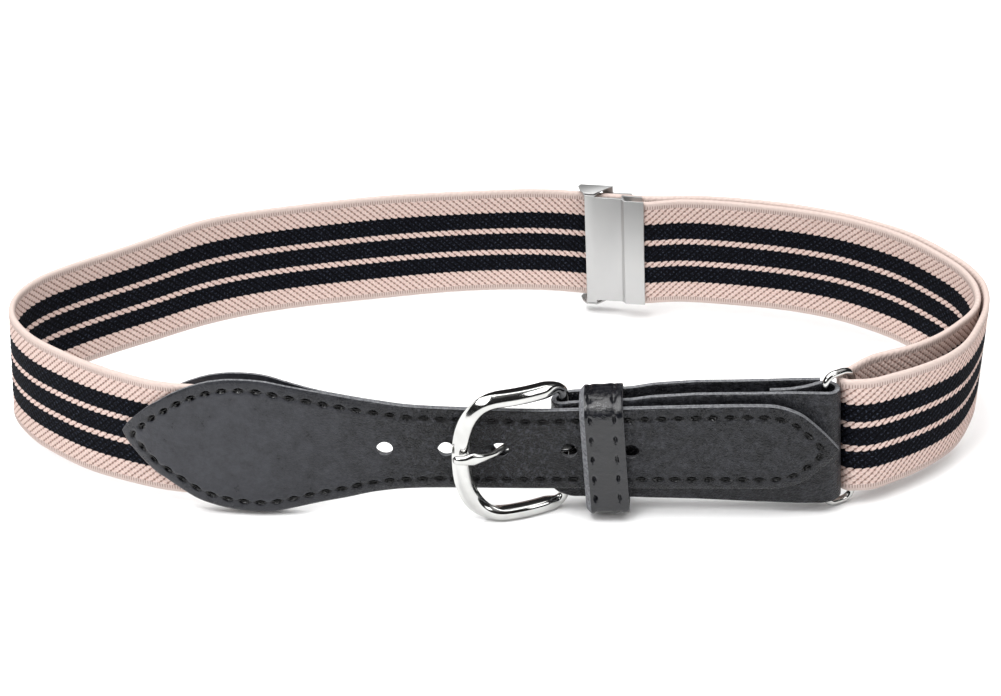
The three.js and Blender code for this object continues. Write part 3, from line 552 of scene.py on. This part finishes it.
strap_run = smooth(STRAP_RUN, 4)
upper = spline([(x, above) for x, above, below in LEAF_AND_STRAP])
lower = spline([(x, -below) for x, above, below in LEAF_AND_STRAP])
left_end, right_end = upper[0, 0], upper[-1, 0]
closing = POINT_RUN * np.linspace(0, 1, POINT_STEPS)**POINT_CROWDING
even = np.arange(left_end + POINT_RUN, right_end - POINT_RUN, STATION_STEP)
station = np.unique(np.round(np.r_[left_end + closing, even, right_end - closing], 4))
top, bottom = np.interp(station, *upper.T), np.interp(station, *lower.T)
slope = np.sqrt(1 + np.gradient(top, station)**2)
reach = np.minimum(slope, (top - bottom) / 2 / ROW_INSETS[-1])[:, None]
inset = np.array(ROW_INSETS)[None, :] * reach
down, rising = top[:, None] - inset, bottom[:, None] + inset
between = np.linspace(0, 1, 5)[1:-1][None, :]
core = down[:, -1:] * (1 - between) + rising[:, -1:] * between
face_heights = np.hstack([down, core, rising[:, ::-1]])
middle = (top + bottom)[:, None] / 2
back_heights = np.hstack([bottom[:, None], rising[:, 3:4], middle, down[:, 3:4], top[:, None]])
face_rows = face_heights.shape[1]
strap_slots = [0] * (face_rows - 1) + [1, 1] + [0] * 4 + [1, 1]


def strap_y(x):
    return np.interp(x, *strap_run.T)


def bulge(x):
    """How far the elastic inside the leaf lifts a layer."""
    return (LEAF_LIFT - STRAP_LIFT) * (1 - smoothstep(x, *LEAF_ENDS))


def ridge(distance, height, width):
    """A rounded ridge's height at a distance from its line."""
    return height * np.exp(-(distance / width)**2)


def moved_out(line, out, distances):
    """Both coordinates of the places at distances from each point of a line, along its directions out."""
    return [line[:, j:j + 1] + out[:, j:j + 1] * distances for j in (0, 1)]


for side, name in ((1, "front"), (-1, "back")):
    route = beside(strap_run, side * STRAP_LIFT)
    y = np.interp(station, *route.T)
    tilt = np.gradient(y, station)
    out = np.column_stack([tilt, -np.ones(len(station))]) * side / np.sqrt(1 + tilt**2)[:, None]
    arc = np.r_[0, np.cumsum(np.hypot(np.diff(station), np.diff(y)))]
    outline = np.vstack([np.column_stack([np.interp(upper[:, 0], station, arc), upper[:, 1]]),
                         np.column_stack([np.interp(lower[:, 0], station, arc), lower[:, 1]])[::-1][1:-1]])
    face = np.column_stack([np.repeat(arc, face_rows), face_heights.ravel()])
    depth_in = outline_distance(face, outline)
    turned = np.roll(outline, -1, axis=0) - np.roll(outline, 1, axis=0)
    inwards = np.column_stack([turned[:, 1], -turned[:, 0]]) / np.linalg.norm(turned, axis=1)[:, None]
    seam = outline + STITCH["inset"] * inwards
    seam = seam[outline_distance(seam, outline) > STITCH["inset"] - STITCH["slack"]]
    seam = np.vstack([seam, seam[:1]])
    pit, pit_along = resampled(seam, STITCH["pitch"])
    from_seam = depth_in - STITCH["inset"]
    relief = -EDGE["bevel"] * np.clip(1 - depth_in / EDGE["bevel_run"], 0, 1)**2
    relief -= EDGE["dome"] * np.clip(1 - depth_in / EDGE["dome_run"], 0, 1)**1.5
    pressed = pits(face, pit, pit_along)
    relief -= pressed + ridge(from_seam, SEAM["deep"], SEAM["wide"])
    relief += ridge(from_seam - SEAM["welt_inset"], SEAM["welt"], SEAM["welt_wide"])
    punches = [(HOLE["first"] + i * HOLE["pitch"], HOLE["radius"], 0.0) for i in range(HOLE["count"])]
    punches[HOLE["prong"]] = PRONG_SLOTS[side]
    for x, _, _ in punches:
        away = np.hypot(face[:, 0] - np.interp(x, station, arc), face[:, 1] + MIDDLE_Z - HOLE["level"])
        relief -= ridge(away - HOLE["radius"], HOLE["rim"], HOLE["rim_wide"])
    edge_h = np.full((len(station), 1), -EDGE["middle"])
    back_h = np.full(back_heights.shape, -LEATHER / 2)
    h = np.hstack([LEATHER / 2 + relief.reshape(len(station), -1), edge_h, back_h, edge_h])
    z = np.hstack([face_heights, bottom[:, None] - EDGE["bow"], back_heights, top[:, None] + EDGE["bow"]])
    h += bulge(station[:, None])
    plan = moved_out(np.column_stack([station, y]), out, h)
    places = np.stack([*plan, MIDDLE_Z + z], axis=-1)
    shadow = np.zeros(h.shape)
    # Painted shade held in the pressed attribute: dark in each pit and along the seam line, a little darker
    # in the band outside the seam.
    pressed = pressed / STITCH["deep"] + ridge(from_seam, SHADE["line"], SHADE["line_wide"])
    margin = 1 - smoothstep(from_seam, -SHADE["fade"], SHADE["fade"])
    pressed = np.maximum(pressed, SHADE["margin"] * margin)
    shadow[:, :face_rows] = pressed.reshape(len(station), -1)
    layer = wrapped_grid("strap_leather_" + name, places, strap_slots, {"pressed": shadow}, sharp=CUT_EDGE)
    dress(layer, [strap_leather, strap_edge], "billet_" + name)
    for x, half_length, rise in punches:
        widen = HOLE["widening"] * PUNCH_LENGTH / 2
        middle_radius = HOLE["radius"] + HOLE["widening"]
        bpy.ops.mesh.primitive_cone_add(vertices=48, radius1=(middle_radius + widen) * MM,
                                        radius2=(middle_radius - widen) * MM, depth=PUNCH_LENGTH * MM,
                                        rotation=(math.pi / 2, 0, 0))
        punch = bpy.context.object
        bpy.ops.object.transform_apply()
        for corner in punch.data.vertices:
            corner.co.x += math.copysign(half_length - HOLE["radius"], corner.co.x) * MM
            corner.co += Vector((x, STRAP_Y, HOLE["level"] + rise)) * MM
        punch.data.materials.append(strap_edge)
        cut(layer, punch)
    half_stitch = STITCH["shown"] * pit_along
    starts, stops = [np.column_stack([np.interp(s, arc, station), np.interp(s, arc, y), MIDDLE_Z + v])
                     for s, v in ((pit - half_stitch).T, (pit + half_stitch).T)]
    facing = np.column_stack([np.interp(pit[:, 0], arc, c) for c in out.T] + [0 * pit[:, 0]])
    lift = facing * (LEATHER / 2 - STITCH["sunk"] + bulge(starts[:, :1]))
    stitches = thread_row("strap_stitches_" + name, starts + lift, stops + lift, facing)
    dress(stitches, [thread])

# Buckle tab: one strip of the same leather. It starts with a free end before the ring, folds round the
# buckle's heel bar, runs back behind the strap, folds round the ring and ends between its own layers.
TAB = {"leather": 1.2, "fold": 2.0, "corner": 0.16, "corner_run": 0.3}
TAB_OUTLINE = [  # x, height above and depth below the elastic's middle
    (9.0, 7.9, 10.6), (12.0, 8.3, 11.7), (16.2, 9.0, 13.0), (28.0, 9.8, 13.0), (32.0, 10.5, 13.1),
    (41.0, 11.2, 13.2), (50.0, 11.4, 13.6), (60.0, 11.7, 13.9), (65.0, 11.7, 13.8), (69.5, 11.5, 12.9),
]
TAB_REAR = [(65, 5.2), (58, 4.9), (46, 4.7), (36, 4.7), (28, 4.4), (22, 4.1), (18, 4.1)]  # x and space
TAB_RETURN = [(4, 2.4), (7, 1.5), (11, 1.25)]  # distance from the ring and space to the tab's front layer
TAB_INSETS = (0, 0.12, 0.3, 0.8, 1.6, 3.0, 5.0)
PRONG_NOTCH = (10.0, 12.0, 4.0)  # size of the cut through the tab's fold
BAR_X, BUCKLE_DROP = 14.6, 1.8


def tab_front(x):
    return strap_y(x) + STRAP_FACE + GAP + TAB["leather"] / 2


bar_y = tab_front(BAR_X) + TAB["fold"]
heel_z = MIDDLE_Z - BUCKLE_DROP
ring_fold = RING["wire"] + RING["room"] + TAB["leather"] / 2
ring_left = np.array([RING["left_x"], tab_front(RING["left_x"]) + ring_fold])

rear = smooth([(x, tab_front(x) + space) for x, space in TAB_REAR], 4)
forward = [(x, tab_front(x)) for x in np.arange(BAR_X + 4, ring_left[0] - 2, 7)]
returned = [(ring_left[0] - d, tab_front(ring_left[0] - d) + space) for d, space in TAB_RETURN]
tab_route = smooth([*rear, *arc_points(BAR_X, bar_y, TAB["fold"], 90, 270), *forward,
                    *arc_points(*ring_left, ring_fold, -90, 90), *returned], 0.5)
out = beside(tab_route, 1.0) - tab_route
x_there = tab_route[:, 0]
outline_x, above, below = zip(*TAB_OUTLINE)
top, bottom = np.interp(x_there, outline_x, above), -np.interp(x_there, outline_x, below)
inset = np.array(TAB_INSETS)[None, :]
heights = np.hstack([top[:, None] - inset, (top + bottom)[:, None] / 2, bottom[:, None] + inset[:, ::-1]])
rounding = TAB["corner"] * np.clip(1 - np.array(TAB_INSETS) / TAB["corner_run"], 0, 1)**2
face_h = TAB["leather"] / 2 - np.r_[rounding, 0, rounding[::-1]]
rows_h = np.r_[face_h, 0, -face_h[::-1], 0]
z = np.hstack([heights, bottom[:, None] - EDGE["bow"], heights[:, ::-1], top[:, None] + EDGE["bow"]])
plan = moved_out(tab_route, out, rows_h)
places = np.stack([*plan, MIDDLE_Z + z], axis=-1)
slots = ([0] * (len(face_h) - 1) + [1, 1]) * 2
tab = wrapped_grid("buckle_tab_leather", leaning(places), slots, sharp=CUT_EDGE)
dress(tab, [strap_leather, strap_edge], "buckle_tab")
bpy.ops.mesh.primitive_cube_add(size=MM, location=Vector((BAR_X, bar_y, heel_z)) * MM, scale=PRONG_NOTCH)
punch = bpy.context.object
bpy.ops.object.transform_apply()
punch.data.materials.append(strap_edge)
cut(tab, punch)

# Buckle frame: cast zinc, one broad bowed front bar and two arms that taper back to a round heel bar inside
# the tab's fold. A low ridge runs along its face with a bevel on each side. The prong rests in a groove.
BUCKLE = {"left": -7.2, "half_height": 14.95, "left_run": 10.5, "squareness": 2.35, "left_width": 3.8,
          "arm_width": 2.9, "arm_depth": 3.5, "thick": 2.3, "bar": 1.05, "corner": 2.4,
          "groove": 0.5, "groove_room": 0.15, "bow": 1.5, "clear": 1.3, "step": 0.45, "smoothing": 3,
          "to_arm": (0.03, 0.22), "to_front": (0.6, 0.95), "groove_from": 0.7}
BEVEL = {"ridge": 0.1, "arm": 0.6, "front": 1.9, "outer_power": 1.2, "inner_power": 1.7, "inner_run": 1.4,
         "edge": 0.3, "blend": 0.2, "draft": 0.12,  # lengths as shares of the section's half depth and width
         "squareness": 1.3, "front_rounding": 0.5}
PRONG = {"tip": 0.8, "shank": 1.0, "hook": 0.75, "front_rise": 1.2, "hole_rise": 0.95}
FRAME_ROWS = 48
front_x = BUCKLE["left"] + BUCKLE["left_width"] / 2
front_y = strap_y(front_x) - STRAP_FACE - GAP - BUCKLE["clear"]
frame_angle = math.atan2(bar_y - front_y, BAR_X - front_x)
frame_length = math.hypot(bar_y - front_y, BAR_X - front_x)

half = BUCKLE["half_height"] - BUCKLE["arm_width"] / 2
r, run, power = BUCKLE["corner"], BUCKLE["left_run"] - BUCKLE["left_width"] / 2, 2 / BUCKLE["squareness"]
quarter = np.linspace(0, math.pi / 2, 40)
corner = np.column_stack([-r + r * np.cos(quarter), half - r + r * np.sin(quarter)])
bend = np.column_stack([-frame_length + run - run * np.sin(quarter)**power, half * np.cos(quarter)**power])
quarter_path = np.vstack([[[0, 0]], corner, [[-r - 3, half], [-frame_length + run + 1, half]], bend])
whole = np.vstack([quarter_path, (quarter_path * (1, -1))[::-1][1:]])
path, along = resampled(whole, BUCKLE["step"])
for _ in range(BUCKLE["smoothing"]):
    path = (np.roll(path, 1, axis=0) + 2 * path + np.roll(path, -1, axis=0)) / 4
along = np.roll(path, -1, axis=0) - np.roll(path, 1, axis=0)
along /= np.linalg.norm(along, axis=1)[:, None]
outwards = np.column_stack([along[:, 1], -along[:, 0]])
outwards *= np.sign((outwards * (path + (frame_length / 2, 0))).sum(1))[:, None]
share = np.clip(-path[:, 0] / frame_length, 0, 1)
bar_to_arm, arm_to_front = [smoothstep(share, *BUCKLE[run]) for run in ("to_arm", "to_front")]
arm = 2 * BUCKLE["bar"] + (BUCKLE["arm_width"] - 2 * BUCKLE["bar"]) * bar_to_arm
wide = (arm + (BUCKLE["left_width"] - arm) * arm_to_front)[:, None] / 2
arm_depth = 2 * BUCKLE["bar"] + (BUCKLE["arm_depth"] - 2 * BUCKLE["bar"]) * bar_to_arm
deep = (arm_depth + (BUCKLE["thick"] - arm_depth) * arm_to_front)[:, None] / 2
around = np.linspace(0, 2 * math.pi, FRAME_ROWS, endpoint=False)[None, :]
squareness = BEVEL["squareness"] - BEVEL["front_rounding"] * arm_to_front
square = 1 / (1 + squareness * bar_to_arm)[:, None]
crown = BEVEL["arm"] + (BEVEL["front"] - BEVEL["arm"]) * arm_to_front
crown = (crown * bar_to_arm)[:, None] * deep
c, s = np.cos(around), np.sin(around)
sideways = np.sign(c) * np.abs(c)**square * wide
facing = np.sign(s) * np.abs(s)**square * deep
from_ridge = sideways / wide + BEVEL["ridge"]
slope_run = np.where(from_ridge > 0, 1 + BEVEL["ridge"], BEVEL["inner_run"] * (1 - BEVEL["ridge"]))
bevel_power = np.where(from_ridge > 0, BEVEL["outer_power"], BEVEL["inner_power"])
bevel = np.abs(from_ridge / slope_run)**bevel_power * crown - deep
bevel = np.minimum(bevel, BEVEL["edge"] * deep)
crowned = (facing + bevel + np.sqrt((facing - bevel)**2 + (BEVEL["blend"] * deep)**2)) / 2
tapered = sideways * (1 - BEVEL["draft"] * bar_to_arm[:, None] * np.maximum(facing / deep, 0))
u, v = moved_out(path, outwards, tapered)
depth = crowned - BUCKLE["bow"] * np.sin(math.pi * share)[:, None]
groove_radius = PRONG["shank"] + GAP + BUCKLE["groove_room"]
below = np.sqrt(np.clip(groove_radius**2 - (v - PRONG["front_rise"])**2, 0, None))
floor_of_groove = -BUCKLE["thick"] / 2 - groove_radius + BUCKLE["groove"] + below
in_groove = (share[:, None] > BUCKLE["groove_from"]) & (np.abs(v - PRONG["front_rise"]) < groove_radius)
depth = np.where(in_groove, np.maximum(depth, floor_of_groove), depth)
places = np.stack([*rotated(u, depth, frame_angle, BAR_X, bar_y), heel_z + v], axis=-1)
buckle = wrapped_grid("buckle_frame_cast", places, closed_ends=True)

# Bright nickel plate over polished zinc: a mirror with the faint waves and hairlines of hand polishing.
nickel, tree = new_material("polished_nickel_plate")
at = add(tree, "TexCoord")["Object"]
waves = add(tree, "TexNoise", {"Vector": at, "Scale": 1 / 0.004, "Detail": 2.0})[0]
stretched = add(tree, "Mapping", {"Vector": at, "Scale": (1.0, 1.0, 9.0)})[0]
hairlines = add(tree, "TexNoise", {"Vector": stretched, "Scale": 1 / 0.0009, "Detail": 3.0})[0]
shine = add(tree, "MapRange", {"Value": hairlines, "From Min": 0.35, "From Max": 0.75,
                               "To Min": 0.05, "To Max": 0.16})[0]
tone = add(tree, "ValToRGB", [waves], ramp=[(0.3, "#b4b4b2"), (0.7, "#c3c3c1")])[0]
bump = add(tree, "Bump", {"Height": waves, "Strength": 0.3, "Distance": 0.0001})[0]
finish_material(tree, Base_Color=tone, Metallic=1.0, Roughness=shine, Normal=bump)
dress(buckle, [nickel], "buckle_frame")

# Prong: plated wire hooked round the heel bar. It comes up through the strap's third hole, widens, and its
# flattened tip lies in the front bar's groove.
over_bar = front_y - BUCKLE["thick"] / 2 + BUCKLE["groove"] - GAP - PRONG["tip"]
through = float(strap_y(2))
hook = BUCKLE["bar"] + GAP + PRONG["hook"]
prong_rows = [  # x, y, height above the heel bar, half width, half thickness
    (front_x - 1.35, over_bar + 0.35, 1.2, 0.4, 0.3), (front_x - 1.1, over_bar - 0.1, 1.2, 0.82, 0.55),
    (front_x - 0.5, over_bar - 0.3, 1.2, 0.92, 0.68), (front_x + 0.8, over_bar - 0.2, 1.2, 1.0, 0.75),
    (front_x + 2.3, over_bar + 0.4, 1.12, 1.4, 0.74), (front_x + 3.9, over_bar + 1.05, 1.1, 1.05, 0.74),
    (0.3, through - 2.25, 1.0, 0.74, 0.72), (1.5, through - 1.2, PRONG["hole_rise"], 0.68, 0.68),
    (2.4, through, PRONG["hole_rise"], 0.66, 0.66), (3.4, through + 1.4, 0.75, 0.66, 0.66),
    (5.4, through + 2.5, 0.5, 0.7, 0.7), (10.8, bar_y - hook + 0.05, 0.1, 0.75, 0.75),
]
prong_rows += [(BAR_X + hook * math.cos(math.radians(a)), bar_y + hook * math.sin(math.radians(a)), 0.0,
                PRONG["hook"], PRONG["hook"]) for a in range(270, 511, 30)]
rows = smooth(prong_rows, 0.3)
path = rows[:, :2]
ahead = beside(path, 1.0) - path
WIRE_SIDES = 20
round_wire = np.linspace(0, 2 * math.pi, WIRE_SIDES, endpoint=False)[None, :]
tall, thin = rows[:, 3:4], rows[:, 4:5]
plan = moved_out(path, ahead, np.cos(round_wire) * thin)
places = np.stack([*plan, heel_z + rows[:, 2:3] + np.sin(round_wire) * tall], axis=-1)
prong = wrapped_grid("buckle_prong_wire", places)
dress(prong, [nickel], "buckle_prong")

# Keeper: a stiff loop of glossy coated leather, stitched along both edges and closed behind, hanging on the
# upper edges of the strap and the tab. Its left edge is skived, so the raw leather shows as a pale band.
KEEPER = {"x": 22.6, "width": 8.5, "half_height": 13.0, "drop": 1.9, "wall": 1.2, "lean": 3.5,
          "depth": 11.0, "top_corner": 4.0, "bottom_corner": 1.8, "skive": 0.95, "thin_edge": 0.1,
          "rounded": 0.2, "rounded_run": 0.4, "step": 0.33}
KEEPER_SEAMS = (-2.25, 2.5)  # x of each from the keeper's middle
KEEPER_STITCH = {"pitch": 4.75, "first": 1.2, "deep": 0.6, "long": 0.8, "wide": 0.34,
                 "line": 0.1, "line_wide": 0.3}
KEEPER_CREASES = ((0.16, 0.45), (0.09, 1.395))  # height and how many to the mm
KEEPER_INSETS = (0, 0.1, 0.25, 0.5, 0.8, 1.0, 1.2, 1.4, 1.55, 1.68, 1.8, 1.95, 2.15, 2.5, 3.0, 3.6)


def oblong(wide, tall, corners, pitch):
    """Places a pitch apart round an oblong of these half sizes, with two corner radii, above and below, and
    the directions outwards."""
    path = []
    for i, (x, y) in enumerate(((1, 1), (-1, 1), (-1, -1), (1, -1))):
        radius = corners[i // 2]
        path += arc_points(x * (wide - radius), y * (tall - radius), radius, 90 * i, 90 * i + 90, 13)
    path, along = resampled(np.array([*path, path[0]]), pitch)
    return path, np.column_stack([along[:, 1], -along[:, 0]])


corners = (KEEPER["top_corner"], KEEPER["bottom_corner"])
path, outwards = oblong(KEEPER["depth"] / 2, KEEPER["half_height"], corners, KEEPER["step"])
length = KEEPER["step"] * np.arange(len(path))
inset = np.array(KEEPER_INSETS)
half_width = KEEPER["width"] / 2
face_x = np.r_[-half_width + inset, 0, (half_width - inset)[::-1]]
grid_s, grid_x = np.meshgrid(length, face_x, indexing="ij")
total = length[-1] + KEEPER["step"]
count = round(total / KEEPER_STITCH["pitch"])
pit_s = np.arange(count) * total / count + KEEPER_STITCH["first"]
relief = np.zeros(grid_s.shape)
for seam_x in KEEPER_SEAMS:
    across_seam = np.exp(-((grid_x - seam_x) / KEEPER_STITCH["wide"])**2)
    for s0 in pit_s:
        from_pit = (grid_s - s0 + total / 2) % total - total / 2
        pit = ridge(from_pit, KEEPER_STITCH["deep"], KEEPER_STITCH["long"])
        relief = np.minimum(relief, -across_seam * pit)
    relief -= ridge(grid_x - seam_x, KEEPER_STITCH["line"], KEEPER_STITCH["line_wide"])
for i, k in np.ndindex(grid_s.shape):
    point = Vector((*path[i], grid_x[i, k]))
    relief[i, k] += sum(height * noise.noise(point * density) for height, density in KEEPER_CREASES)
skived = np.clip(1 - (grid_x + half_width) / KEEPER["skive"], 0, 1)
relief -= (KEEPER["wall"] - KEEPER["thin_edge"]) * skived
relief -= KEEPER["rounded"] * np.clip(1 - (half_width - grid_x) / KEEPER["rounded_run"], 0, 1)**2
x_rows = np.hstack([grid_x, np.tile((half_width, 0.0, -half_width), (len(path), 1))])
h_rows = np.hstack([relief, np.full((len(path), 3), -KEEPER["wall"])])
near = float(strap_y(KEEPER["x"])) - STRAP_FACE - GAP - KEEPER["wall"]
y_rows, z_rows = moved_out(path, outwards, h_rows)
tilt = math.radians(KEEPER["lean"])
x_there, z_there = rotated(x_rows, z_rows, tilt, KEEPER["x"], MIDDLE_Z - KEEPER["drop"])
places = np.stack([x_there, near + KEEPER["depth"] / 2 + y_rows, z_there], axis=-1)
skive_rows = sum(1 for d in KEEPER_INSETS if d < KEEPER["skive"])
slots = [1] * skive_rows + [0] * (len(face_x) - 1 - skive_rows) + [1, 0, 0, 1]
keeper = wrapped_grid("keeper_leather", places, slots, closed_ends=True, sharp=CUT_EDGE)
keeper_leather, keeper_edge = leather_material(
    "glossy_black_coated_leather", face=("#0b0c10", "#1a1b21"), rough=(0.1, 0.26), pebble=0.15, crease=3.5,
    bent_crease=0.0, gloss=0.5, edge_colour=("#434447", "#85868a"))
dress(keeper, [keeper_leather, keeper_edge], "keeper_loop")

# Ring: plated steel wire, 1.5 mm thick, bent to an oblong. One leg lies in the tab's fold, the other in the
# elastic's.
RING_STEP = 0.4
path, outwards = oblong(RING["spacing"] / 2, RING["half_height"] - RING["shown_wire"], [RING["bend"]] * 2,
                        RING_STEP)
flat_x, flat_z = moved_out(path, outwards, np.cos(round_wire) * RING["shown_wire"])
flat_y = np.sin(round_wire) * RING["shown_wire"] + 0 * flat_x
ring_right = np.array(RING["right"])
heading = math.atan2(*(ring_right - ring_left)[::-1])
centre = (ring_left + ring_right) / 2
places = np.stack([*rotated(flat_x, flat_y, heading, *centre), MIDDLE_Z - RING["drop"] + flat_z], axis=-1)
ring = wrapped_grid("ring_wire", leaning(places), closed_ends=True)
dress(ring, [nickel], "ring")

# Adjuster: a slide of folded 0.5 mm steel and the lever that clamps the elastic behind it. Both are pressed
# from plated sheet, so every edge is slightly rounded over.
plate, tree = new_material("nickel_plated_steel_sheet")
at = add(tree, "TexCoord")["Object"]
clouds = add(tree, "TexNoise", {"Vector": at, "Scale": 1 / 0.009, "Detail": 2.0})[0]
tone = add(tree, "ValToRGB", [clouds], ramp=[(0.3, "#b0b0b0"), (0.7, "#b8b8b7")])[0]
shine = add(tree, "MapRange", {"Value": clouds, "From Min": 0.3, "From Max": 0.7,
                               "To Min": 0.46, "To Max": 0.54})[0]
finish_material(tree, Base_Color=tone, Metallic=1.0, Roughness=shine)
EAR_LEVELS = ((12.95, 13.25, 13.65, 13.95, 14.35), (12.85, 12.95, 13.25, 13.35, 13.7))  # solid's and shown
SHEET_EDGE = {"weld": 0.005, "flat_degrees": 4, "round": 0.14, "segments": 3, "sharp_degrees": 32,
              "shade_degrees": 30}
for node, body in (("adjuster_body", "belt"), ("adjuster_lever", "lever")):
    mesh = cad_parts[node].data.copy()
    pressed = bpy.data.objects.new(node + "_sheet", mesh)
    bpy.context.scene.collection.objects.link(pressed)
    mesh.name = pressed.name
    for corner in mesh.vertices:  # the upper ear and flange lie closer to the elastic than the lower ones
        level_z = corner.co.z / MM - MIDDLE_Z - ADJUSTER["lift"]
        if level_z > EAR_LEVELS[0][0]:
            corner.co.z += (np.interp(level_z, *EAR_LEVELS) - level_z) * MM
    mesh.materials.clear()
    dress(pressed, [plate], node, body)
    bpy.ops.object.select_all(action="DESELECT")
    pressed.select_set(True)
    bpy.context.view_layer.objects.active = pressed
    bpy.ops.object.mode_set(mode="EDIT")
    bpy.ops.mesh.select_all(action="SELECT")
    bpy.ops.mesh.remove_doubles(threshold=SHEET_EDGE["weld"] * MM)
    bpy.ops.mesh.dissolve_limited(angle_limit=math.radians(SHEET_EDGE["flat_degrees"]))
    bpy.ops.object.mode_set(mode="OBJECT")
    bpy.ops.object.modifier_add(type="BEVEL")
    rounding = pressed.modifiers[-1]
    rounding.width, rounding.segments = SHEET_EDGE["round"] * MM, SHEET_EDGE["segments"]
    rounding.limit_method, rounding.angle_limit = "ANGLE", math.radians(SHEET_EDGE["sharp_degrees"])
    bpy.ops.object.modifier_apply(modifier=rounding.name)
    bpy.ops.object.shade_smooth_by_angle(angle=math.radians(SHEET_EDGE["shade_degrees"]))
